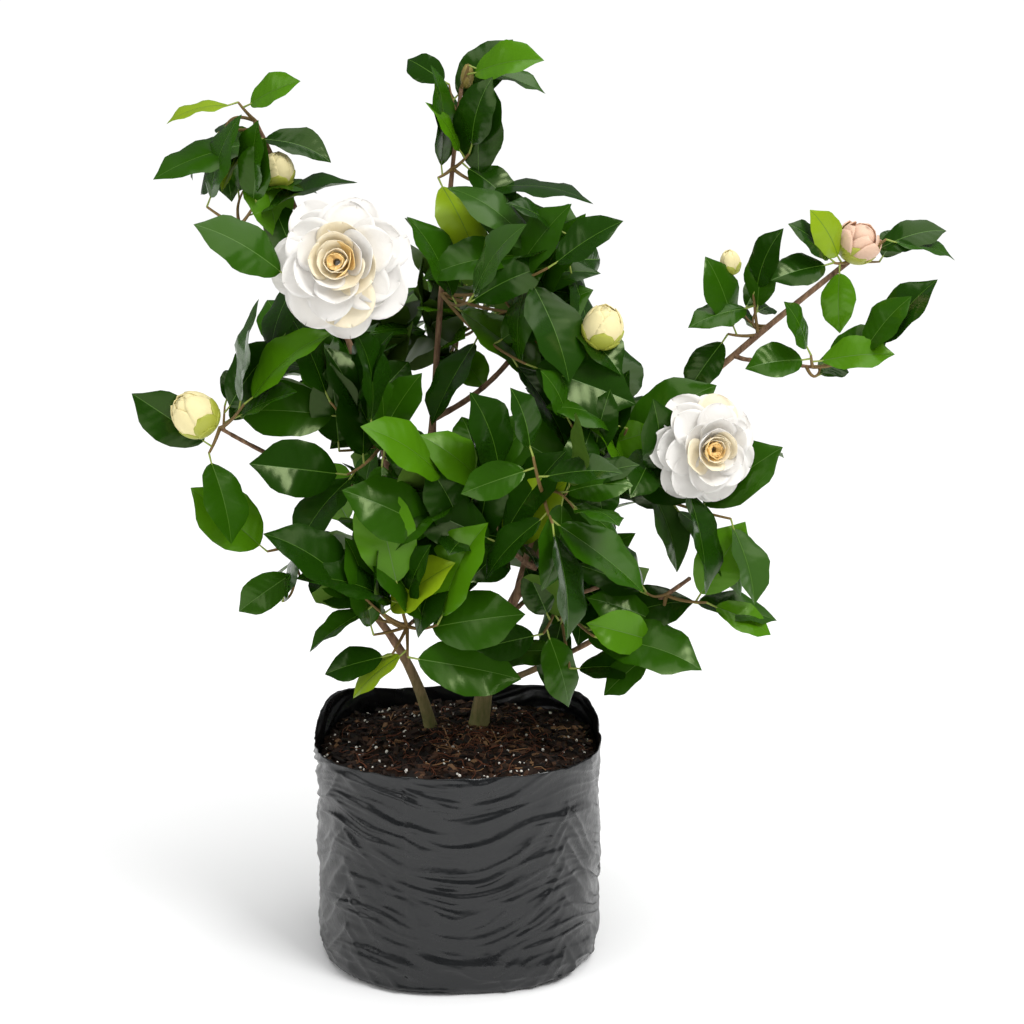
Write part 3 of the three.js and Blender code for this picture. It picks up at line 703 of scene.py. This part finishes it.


# The outermost leaves come first. From a mass's limb its shoots fan out evenly, the first of them
# straight on, and each bears leaves to its two sides in turn and one at its end. A leaf takes the
# best of some seeded tries: inside the crown's outline, clear of the gaps, reaching the edge of
# its mass, and away from the leaves before it.
# Mass, limb, shoots, leaves on a shoot, and the tones dealt out to its leaves in turn.
# The deep green in these tones goes partly to leaves that lie in shade: painted shade.
OUTER = [("foliage_top_left", "leader_top_left", 2, 4, "blmmldm"),
         ("foliage_far_left", "bough_far_left", 2, 3, "mdgdmm"),
         ("foliage_bloom_left", "leader_top_left", 4, 3, "mddmlmdm"),
         ("foliage_crown_top", "leader_top", 1, 5, "bmgmd"),
         ("foliage_crown_upper", "leader_top", 3, 3, "dbdmlmgd"),
         ("foliage_upper_right", "bough_upper_right", 3, 3, "mddgm"),
         ("foliage_centre_high", "leader_top", 4, 4, "dmddbmdg"),
         ("foliage_right_centre", "leader_right", 4, 3, "mmdbdmd"),
         ("foliage_core", "bough_core", 4, 3, "dmbddmld"),
         ("foliage_front_centre", "bough_front_centre", 2, 3, "dmd"),
         ("foliage_mid_left", "bough_mid_left", 3, 3, "mmbdmg"),
         ("foliage_left_centre", "leader_left", 4, 3, "dmdd"),
         ("foliage_low_left", "stem_low_left", 2, 3, "bmgmd"),
         ("foliage_lower_left", "bough_front", 6, 3, "mmbddblmd"),
         ("foliage_lower_right", "bough_inner_right", 3, 3, "mdmd"),
         ("foliage_low_right", "bough_low_right", 2, 4, "mbbm"),
         ("foliage_bloom_right", "leader_right", 3, 4, "dbmmgd"),
         ("foliage_arm_inner", "arm_right", 2, 3, "mmdmd"),
         ("foliage_arm_tip", "arm_right", 2, 4, "dbmdlbd"),
         ("foliage_arm_mid", "bough_arm_mid", 2, 3, "mmdb")]

crown = [middle_and_half(row[0]) for row in GROWTH]
crown_middles = seen(np.array([middle for middle, half in crown]))
crown_halves = np.array([half for middle, half in crown])[:, [0, 2]]


def in_crown(spots):
    """How far inside the crown each point lies, seen from the front: under one is inside."""
    away = (seen(spots)[:, None] - crown_middles) / crown_halves
    return np.linalg.norm(away, axis=-1).min(1)


def add_leaf(joint, spot, ahead, face, length, tone, dice, widths, folds):
    """Keeps a leaf that starts at `spot`, with its stalk from the twig's joint. Its width against
    its length, its fold along the midrib and its arch are drawn at random."""
    width, fold, arch = length * dice.uniform(*widths), dice.uniform(*folds), dice.uniform(0.3, 0.9)
    leaf_rows.append((spot, ahead, face, length, width, fold, arch, tone))
    stalks.append((joint, spot, ahead))


def add_twig(start, line, furthest, thick, thin):
    """Keeps a shoot's twig as far as its last leaf, from `thick` to `thin` millimetres in radius."""
    bow = line[furthest // 2] - (start + line[furthest]) / 2
    twig_lines.append(bowed(start, line[furthest], bow, STEPS))
    twig_radii.append(np.linspace(thick, thin, STEPS) * MM)


# Tries for a leaf, a leaf stalk's length, points along a twig, and the clearance past which a leaf
# gains nothing more.
TRIES, STALK, STEPS, FREE = 90, 7 * MM, 14, 45 * MM
grown = [np.array([9.0, 9.0])]
for number, (mass, limb, shoots, per_shoot, tones) in enumerate(OUTER):
    dice = np.random.default_rng([11, number])
    middle, half = middle_and_half(mass)
    nearest = on_limb(limb, np.linspace(0.35, 1, 30))
    root = nearest[np.argmin(np.linalg.norm((nearest - middle)[:, [0, 2]], axis=1))]
    onward = on_limb(limb, 1.0) - on_limb(limb, 0.8)
    for k in range(shoots):
        turn = math.atan2(onward[2], onward[0]) + 2 * math.pi * k / shoots + dice.uniform(-0.25, 0.25)
        reach = dice.uniform(0.4, 0.55)
        end = middle + half * np.array([math.cos(turn) * reach, -0.55, math.sin(turn) * reach])
        line = bowed(root, end, np.array([0, 0, -0.06]) * np.linalg.norm(end - root), STEPS)
        ahead_turn = math.atan2((line[-1] - line[-5])[2], (line[-1] - line[-5])[0])
        furthest = 0
        for n in range(per_shoot):
            last = n == per_shoot - 1
            step = int(round((STEPS - 1) * (0.3 + 0.7 * (n + 1) / per_shoot)))
            joint = line[step]
            side = 1 if n % 2 else -1
            spread = dice.uniform(-0.5, 0.5, TRIES) if last else side * dice.uniform(0.25, 1.75, TRIES)
            turns, lengths = ahead_turn + spread, dice.uniform(44, 76, TRIES) * MM
            leans, rolls = dice.uniform(-0.1, 0.45, TRIES), np.arccos(dice.uniform(0.28, 1.0, TRIES))
            level = np.cos(leans)
            runs = np.stack([np.cos(turns) * level, -np.sin(leans), np.sin(turns) * level], -1)
            spots = joint + runs * STALK
            mids, tips = spots + runs * (lengths * 0.5)[:, None], spots + runs * lengths[:, None]
            near_tips = spots + runs * (lengths * 0.85)[:, None]
            others = np.array(grown)
            apart = [np.linalg.norm(seen(part)[:, None] - others, axis=-1) for part in (mids, near_tips)]
            fresh = np.minimum([away.min(1) for away in apart], FREE).sum(0)
            edge = np.abs(np.linalg.norm(((tips - middle) / half)[:, [0, 2]], axis=1) - 1.0)
            open_sky = crosses_sky(spots, spots * 0.6 + mids * 0.4, mids, near_tips, tips)
            outside = in_crown(tips) > 1.06
            # A try's worth: its clearance, its reach to the mass's edge and its length, less a fine
            # far above them all if it crosses a gap or leaves the crown.
            score = fresh - 22 * MM * edge + lengths * 0.25 - open_sky - 0.5 * outside
            best = int(np.argmax(score))
            if open_sky[best] or outside[best]:
                continue
            furthest = max(furthest, step)
            ahead, face = leaf_axes(turns[best], leans[best], rolls[best])
            grown += [seen(mids[best]), seen(near_tips[best])]
            tone = tones[(k * per_shoot + n) % len(tones)]
            add_leaf(joint, spots[best], ahead, face, lengths[best], tone, dice, (0.56, 0.64), (0.14, 0.5))
        if furthest:
            add_twig(root, line, furthest, 1.5, 0.9)

# The leaves behind and between them: the shortest one, how far past the CAD's back one may reach,
# and the turn in radians from a leaf to the next about its shoot, the golden angle.
LEAST_LEAF, BACK_ROOM, LEAF_TURN = 30 * MM, 12 * MM, 2.4
for number, (mass, limb, shoots, per_shoot, open_front) in enumerate(GROWTH):
    dice = np.random.default_rng([7, number])
    middle, half = middle_and_half(mass)
    for k in range(shoots):
        nearest = on_limb(limb, np.linspace(0.5, 1, 20))
        start = nearest[np.argmin(np.linalg.norm(nearest - middle, axis=1) + dice.uniform(0, 25 * MM, 20))]
        heading = unit(dice.normal(0, 1, 3) + np.array([0, 0.9 * open_front * 2 - 0.2, 0.25]))
        if open_front > 0.1 and heading[1] < 0:
            heading[1] *= 1 - open_front * 1.4
        end = middle + unit(heading) * half * dice.uniform(0.45, 0.72)
        line = bowed(start, end, dice.normal(0, 4 * MM, 3) + np.array([0, 0, -3 * MM]), STEPS)
        furthest = 0
        axis = unit(line[-1] - line[-4])
        spin = dice.uniform(0, 2 * np.pi)
        # Painted shade: the leaves inside the front masses are dealt the deep green more often, and fewer
        # young bright ones, for the shade that falls among them.
        shade = dice.choice(["d", "m", "b"], p=[0.64, 0.32, 0.04] if open_front else [0.5, 0.38, 0.12])
        for n in range(per_shoot):
            along = 0.35 + 0.65 * (n + 1) / per_shoot
            step = int(round((STEPS - 1) * along))
            joint = line[step]
            spin += LEAF_TURN
            aside = unit(np.cross(axis, [0.3, 0.2, 1.0]))
            aside = aside * math.cos(spin) + np.cross(axis, aside) * math.sin(spin)
            outward = unit((joint - middle) / half + 1e-6)
            pull = np.array([0, 1.3 * open_front, -0.12])
            ahead = unit(axis * (0.5 + 0.5 * along) + aside * 0.9 + outward * 0.5 + pull)
            length = dice.uniform(42, 66) * MM
            tip = joint + ahead * length
            shrink = 1.0
            reach = (tip - middle) / (half * (1 - 0.25 * open_front) + 3 * MM)
            if np.abs(reach).max() > 1:
                ahead = unit(ahead - unit(reach) * 0.6)
                tip = joint + ahead * length
                over = np.abs((tip - middle) / (half * (1 - 0.2 * open_front) + 6 * MM)).max()
                shrink = min(1, 1.1 / over) if over > 1.1 else 1.0
            length = max(length * shrink, LEAST_LEAF)
            turned_out = outward * np.array([1, 0.3 if open_front else 0.45, 1]) * 0.6
            to_sky = np.array([0, -0.75 if open_front else 0.05, 0.9])
            face = unit(to_sky + turned_out + dice.normal(0, 0.22, 3))
            spot = joint + ahead * 6 * MM
            along_blade = spot + ahead * (length * np.array([0.0, 0.45, 0.85, 1.0]))[:, None]
            too_far_back = along_blade[:, 1].max() > cad_high.y + BACK_ROOM
            if too_far_back or crosses_sky(*along_blade[1:, None])[0] or in_crown(along_blade).max() > 1.0:
                continue
            young = 0.1 if open_front else 0.3
            tone = "b" if n == per_shoot - 1 and dice.uniform() < young else shade
            furthest = max(furthest, step)
            add_leaf(joint, spot, ahead, face, length, tone, dice, (0.54, 0.62), (0.1, 0.36))
        if furthest:
            add_twig(start, line, furthest, 1.4, 0.7)

young_wood = finish("young green-brown twig", "#7a6236", 0.6, Specular_IOR_Level=0.4)[0]
points, polygons = tubes(np.array(twig_lines), np.array(twig_radii), 7)
piece("twigs", points, polygons, [young_wood])

stalk_lines = []
for joint, spot, ahead in stalks:
    s = np.linspace(0, 1, 6)[:, None]
    bend = spot - ahead * min(6 * MM, np.linalg.norm(spot - joint) * 0.6)
    stalk_lines.append((1 - s) ** 2 * joint + 2 * s * (1 - s) * bend + s ** 2 * (spot + ahead * 1.5 * MM))
stalk_green = finish("leaf stalk", "#8a9a3e", 0.45)[0]
long_stalk = np.array([np.linalg.norm(l[-1] - l[0]) for l in stalk_lines])
radii = np.where(long_stalk > 14 * MM, 0.95, 0.75)[:, None] * MM * np.linspace(1.1, 0.85, 6)
points, polygons = tubes(np.array(stalk_lines), radii, 6)
piece("leaf_stalks", points, polygons, [stalk_green])


def leaf_finish(name, colour, gloss):
    """Leaf cuticle: a plain green under a clear gloss, quilted by the side veins."""
    made, tree, shader = finish(name, colour, gloss, Specular_IOR_Level=0.34,
                                Specular_Tint=(0.82, 1.0, 0.5, 1.0))
    spot = node(tree, "SeparateXYZ", {"Vector": node(tree, "UVMap", uv_map="along").outputs["UV"]})
    across = node(tree, "Math", {0: spot.outputs["Y"]}, operation="ABSOLUTE")
    slant = node(tree, "Math", {0: across.outputs[0], 1: -0.16, 2: spot.outputs["X"]},
                 operation="MULTIPLY_ADD")
    wave = node(tree, "Math", {0: slant.outputs[0], 1: 52.0}, operation="MULTIPLY")
    veins = node(tree, "Math", {0: wave.outputs[0]}, operation="SINE")
    fine = speckle(tree, 380.0, 2.0)
    both = node(tree, "Math", {0: fine, 1: 0.9, 2: veins.outputs[0]}, operation="MULTIPLY_ADD")
    relief(tree, shader, both.outputs[0], 0.13, 0.3 * MM)
    return made


midrib = finish("pale midrib", "#456c12", 0.4)[0]
# The underside's matt green is its own, but it is darkened so that the undersides seen inside the crown sink
# into its shade: painted shade.
underside = finish("matt leaf underside darkened as painted shade", "#4a671f", 0.5, Specular_IOR_Level=0.2)[0]
# Each tone is a plain colour. The deep green is partly the old leaves' own colour and partly painted shade
# for the leaves that sit in shade inside the crown.
TONES = {"d": ("deep green leaf cuticle", "#183804", 0.21),
         "m": ("mid green leaf cuticle", "#264d05", 0.22),
         "b": ("bright green leaf cuticle", "#467608", 0.26),
         "l": ("lime young leaf cuticle", "#7f9a14", 0.3),
         "g": ("dull green leaf cuticle", "#32521c", 0.2)}
groups = {key: [] for key in TONES}
for row in leaf_rows:
    groups[row[7]].append(row)
for key, (name, colour, gloss) in TONES.items():
    rows = groups[key]
    columns = [np.array(column) for column in zip(*rows)][:7]
    points = blades(*columns, np.random.default_rng(ord(key)))
    step = np.arange(len(rows))[:, None, None] * len(SPOTS)
    faces = [(part[None] + step).reshape(-1, part.shape[1]) for part in (TOP, RIB, UNDER, ENDS)]
    which = [np.full(len(part), kind) for kind, part in enumerate(faces[:3])]
    which.append(np.tile(END_KIND, len(rows)))
    uv = np.tile(SPOTS, (len(rows), 1))
    leaf_piece = piece(name.split(" leaf")[0].replace(" ", "_") + "_leaves", points.reshape(-1, 3), faces,
                       [leaf_finish(name, colour, gloss), midrib, underside], which, uv=uv)
    leaf_piece.data.set_sharp_from_angle(angle=1.3)
    if key == "d":
        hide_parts(*[row[0] for row in GROWTH])

# ---------------------------------------------------------------- Blooms
# Double white camellias, their petals in whorls that open from a creamy yellow heart, each
# petal spooned and rounded with a small notch, as thin as card and barely glossy.


def sheet_faces(rows, cols):
    """Faces of a thin sheet: a grid of points, the same again beneath it, and a band round the rim."""
    total = rows * cols
    i, j = np.meshgrid(np.arange(rows - 1), np.arange(cols - 1), indexing="ij")
    top = np.stack([i * cols + j, i * cols + j + 1, (i + 1) * cols + j + 1, (i + 1) * cols + j], -1)
    top = top.reshape(-1, 4)
    grid = np.arange(total).reshape(rows, cols)
    a = np.concatenate([grid[0], grid[1:, -1], grid[-1, -2::-1], grid[-2:0:-1, 0]])
    b = np.roll(a, -1)
    return np.concatenate([top, top[:, ::-1] + total, np.stack([a, a + total, b + total, b], -1)])


def petals(base, ahead, face, length, width, cup, curl, dice):
    """Closed petals (n, v, 3) and their faces: a grid over (share along, share across).

    Half width swells as a quarter sine to 0.58 of the length, then closes as an ellipse; the
    blade spoons up by `cup` toward its sides and bends back along its length by `curl` radians.
    A second skin just under it closes it."""
    rows, cols = 12, 9
    s, u = np.meshgrid(np.sin(np.pi / 2 * np.linspace(0, 1, rows)), np.linspace(-1, 1, cols), indexing="ij")
    round_end = np.sqrt(np.clip(1 - np.clip((s - 0.58) / 0.42, 0, 1) ** 2.3, 0.0004, 1))
    wide = np.where(s < 0.58, 0.36 + 0.64 * np.sin(np.pi / 2 * s / 0.58), round_end)
    ahead, face = unit(ahead), unit(face - unit(ahead) * (face * unit(ahead)).sum(-1, keepdims=True))
    side = np.cross(face, ahead)
    slope = curl[:, None, None] * (s - 0.3)
    run = s - slope ** 2 * s / 6
    rise = -curl[:, None, None] * (s ** 2 / 2 - 0.3 * s)
    half = wide * width[:, None, None] / 2
    out = u * half
    notch = -0.07 * np.exp(-(u / 0.3) ** 2) * s ** 6
    up = cup[:, None, None] * u ** 2 * half
    phase = dice.uniform(0, 6.28, (len(base), 1, 1))
    up = up + 0.06 * half * np.sin(u * 4 + phase + s * 3) * s
    local = length[:, None, None]
    pos = (base[:, None, None] + ahead[:, None, None] * ((run + notch) * local)[..., None]
           + side[:, None, None] * out[..., None] + face[:, None, None] * (rise * local + up)[..., None])
    under = pos - face[:, None, None] * 0.35 * MM
    both = np.concatenate([pos.reshape(len(base), -1, 3), under.reshape(len(base), -1, 3)], 1)
    step = np.arange(len(base))[:, None, None] * both.shape[1]
    return both.reshape(-1, 3), (sheet_faces(rows, cols)[None] + step).reshape(-1, 4)


def petal_finish(name, colour):
    """Petal tissue: soft and barely glossy."""
    made, tree, shader = finish(name, colour, 0.55, Specular_IOR_Level=0.25)
    relief(tree, shader, speckle(tree, 260.0, 3.0), 0.25, 0.8 * MM)
    return made


petal_tones = [petal_finish("white petal", "#ebe8e3"), petal_finish("cream petal", "#f3e8cd"),
               petal_finish("yellow heart petal", "#f7d896")]
sepal_green = finish("bud scale", "#a3a83a", 0.5)[0]


def bloom(name, centre, toward, radius, seed):
    """One double bloom: whorls from the wide flat outer ones to the small upright ones."""
    dice = np.random.default_rng(seed)
    toward = unit(np.array(toward, float))
    right = unit(np.cross(toward, [0, 0, 1.0]))
    over = np.cross(right, toward)
    rows, tone = [], []
    # Petals in a whorl, reach, width, angle above flat (degrees), how far forward it starts, tone.
    whorls = [(7, 1.0, 0.84, 0, -0.14, 0), (7, 0.94, 0.80, 9, -0.06, 0), (6, 0.83, 0.74, 19, 0.02, 0),
              (6, 0.69, 0.66, 30, 0.09, 0), (5, 0.54, 0.56, 42, 0.14, 0), (5, 0.41, 0.44, 54, 0.18, 1),
              (4, 0.30, 0.32, 62, 0.23, 1), (4, 0.20, 0.24, 62, 0.29, 2), (3, 0.13, 0.18, 50, 0.33, 2),
              (3, 0.10, 0.16, 20, 0.37, 2)]
    for k, (count, reach, width, lift, forward, shade) in enumerate(whorls):
        for n in range(count):
            a = 2 * math.pi * (n + 0.5 * (k % 2) + dice.uniform(-0.14, 0.14)) / count + k * 0.37
            out = right * math.cos(a) + over * math.sin(a)
            e = math.radians(lift + dice.uniform(-7, 7))
            ahead = out * math.cos(e) + toward * math.sin(e)
            face = toward * math.cos(e) - out * math.sin(e)
            base = centre + out * 0.05 * radius + toward * forward * radius
            length = reach * radius * dice.uniform(0.92, 1.05)
            broad = width * radius * dice.uniform(0.92, 1.1)
            curl = 0.5 if k < 3 else -0.3 - 0.06 * k
            rows.append((base, ahead, face, length, broad, 0.26 + 0.03 * k, curl))
            tone.append(shade if dice.uniform() < 0.85 or shade == 2 else min(shade + 1, 2))
    points, quads = petals(*(np.array(column) for column in zip(*rows)), dice)
    which = np.array(tone).repeat(len(quads) // len(rows))
    return piece(name, points, [quads], petal_tones, [which])


left_heart = off_middle("foliage_bloom_left", 3, -30, 1)
right_heart = off_middle("foliage_bloom_right", -22, -14, 20)
bloom("bloom_left_petals", left_heart, (-0.05, -1, 0.22), 47 * MM, 61)
bloom("bloom_right_petals", right_heart, (0.28, -1, 0.10), 39 * MM, 62)

# ---------------------------------------------------------------- Buds
# Fat flower buds: cream petals wrapped tight, with yellow-green scales about the foot. Each
# sits on its twig; small pointed leaf buds close some shoots.


def bud(name, centre, toward, radius, stretch, seed, open_, tones):
    """A bud: wrapped petals as caps of an egg shape, each turned a little, and scales below."""
    dice = np.random.default_rng(seed)
    toward = unit(np.array(toward, float))
    right = unit(np.cross(toward, [0.1, 0.2, 1.0]))
    over = np.cross(right, toward)
    sheets, faces, kinds = [], [], []
    rows, cols = 10, 9
    # Petals and scales: how many, size against the egg, how far up they reach, half breadth, kind.
    layers = [(1, 0.90 - open_ * 0.1, 1.0, 3.2, 0),
              (5, 0.97, 0.97 - open_ * 0.2, 1.05 - open_ * 0.25, 0),
              (5, 1.02 + open_ * 0.06, 0.88 - open_ * 0.2, 0.95 - open_ * 0.2, 0),
              (5, 1.06 + open_ * 0.2, 0.52 + open_ * 0.04, 0.80, 1),
              (4, 1.09 + open_ * 0.2, 0.34 + open_ * 0.08, 0.75, 1)]
    s, u = np.meshgrid(np.linspace(0, 1, rows), np.linspace(-1, 1, cols), indexing="ij")
    for count, size, top, breadth, kind in layers:
        for n in range(count):
            turn = 2 * math.pi * (n + dice.uniform(-0.12, 0.12)) / count + size * 9
            edge = breadth * np.where(count == 1, 1, np.sqrt(np.clip(1 - s ** 3.0, 0.0, 1)) + 0.02)
            polar = np.pi * (1 - top * s * (1 if count == 1 else dice.uniform(0.93, 1.0)))
            around = (turn + u * edge)[..., None]
            lift = 1 + (0.3 * open_ if kind == 0 else 0.0) * s + 0.02 * u * np.sin(turn * 3)
            r = (radius * size * np.sin(polar) * lift * (1 - 0.16 * np.cos(polar)))[..., None]
            h = (radius * stretch * size * np.cos(polar) * (1 - 0.06 * size))[..., None]
            skin = centre + right * (r * np.cos(around)) + over * (r * np.sin(around)) + toward * h
            inner = centre + (skin - centre) * 0.96
            quads = sheet_faces(rows, cols)
            faces.append(quads + len(sheets) * 2 * rows * cols)
            sheets.append(np.concatenate([skin.reshape(-1, 3), inner.reshape(-1, 3)]))
            kinds.append(np.full(len(quads), kind))
    return piece(name, np.concatenate(sheets), [np.concatenate(faces)], tones,
                 [np.concatenate(kinds)])


closed = [petal_finish("cream bud petal", "#e6d9a4"), sepal_green]
opening = [petal_finish("blush opening petal", "#dcb9a0"), sepal_green]
brown = [finish("leaf bud scale", "#8a7a3a", 0.5)[0]] * 2
# Name, mass, how far right, back and up of its middle (mm), where it points, radius (mm), length
# against breadth, how far open it is, and the finishes of its petals and scales.
BUDS = [("bud_top_left", "foliage_top_left", (29, -18, -35), (0.05, -0.4, 0.9), 11.6, 1.18, 0, closed),
        ("bud_mid_left", "foliage_mid_left", (-9, -24, 7), (-0.6, -0.35, 0.65), 14.6, 1.2, 0.2, closed),
        ("bud_centre", "foliage_centre_high", (50, -28, -8), (0.12, -0.3, 0.95), 13.6, 1.22, 0.2, closed),
        ("bud_arm_inner", "foliage_arm_inner", (-4, -2, 34), (-0.2, -0.3, 0.9), 7.4, 1.35, 0, closed),
        ("bud_arm_tip", "foliage_arm_tip", (-4, -4, 8), (0.35, -0.45, 0.8), 12.5, 1.2, 1, opening),
        ("leaf_bud_crown", "foliage_crown_top", (-7, 0, 0), (0.1, -0.2, 1), 4.6, 2.0, 0, brown)]
for seed, (name, mass, off, toward, radius, stretch, open_, tones) in enumerate(BUDS, 71):
    bud(name, off_middle(mass, *off), toward, radius * MM, stretch, seed, open_, tones)

# ---------------------------------------------------------------- Studio
# A plain pale floor, with a broad soft key from the upper right and a pale sky.
bpy.ops.mesh.primitive_plane_add(size=30)
floor = bpy.context.object
floor.name = "studio_floor"
floor.data.materials.append(finish("matt pale floor", "#fbfbfb", 0.95, Specular_IOR_Level=0.0)[0])
floor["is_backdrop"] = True

world = bpy.data.worlds.new("studio sky")
bpy.context.scene.world = world
world.use_nodes = True
sky = world.node_tree.nodes["Background"]
straight = node(world.node_tree, "LightPath").outputs["Is Camera Ray"]
gloss = node(world.node_tree, "LightPath").outputs["Is Glossy Ray"]
dim = node(world.node_tree, "MapRange", {"Value": gloss, "To Min": 0.54, "To Max": 0.14})
level = node(world.node_tree, "MapRange", {"Value": straight, "To Min": dim.outputs["Result"],
                                           "To Max": 1.05})
sky.inputs["Color"].default_value = (1.0, 1.0, 1.0, 1.0)
world.node_tree.links.new(level.outputs["Result"], sky.inputs["Strength"])


def lamp(name, spot, size, power):
    """A square soft lamp aimed at the middle of the shrub."""
    data = bpy.data.lights.new(name, "AREA")
    data.size, data.energy = size, power
    made = bpy.data.objects.new(name, data)
    made.location = spot
    toward = Vector((0.05, 0, 0.36)) - made.location
    made.rotation_euler = toward.to_track_quat("-Z", "Y").to_euler()
    bpy.context.scene.collection.objects.link(made)
    made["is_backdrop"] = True


lamp("key", (1.1, -1.2, 1.9), 0.75, 24)
lamp("fill", (-1.5, -1.1, 1.4), 1.1, 8)

sun = bpy.data.objects.new("skylight", bpy.data.lights.new("skylight", "SUN"))
sun.data.energy, sun.data.angle, sun.data.specular_factor = 1.75, math.radians(70), 0.1
sun.rotation_euler = Vector((-0.28, 0.02, -1.0)).to_track_quat("-Z", "Y").to_euler()
bpy.context.scene.collection.objects.link(sun)
sun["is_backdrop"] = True

camera = bpy.data.objects.new("camera", bpy.data.cameras.new("camera"))
bpy.context.scene.collection.objects.link(camera)
camera.location = VIEWPOINT
camera.rotation_euler = (math.radians(77.7), 0, 0)
camera.data.lens = 68.4
bpy.context.scene.camera = camera
bpy.context.scene.view_settings.view_transform = "Standard"

low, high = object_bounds()
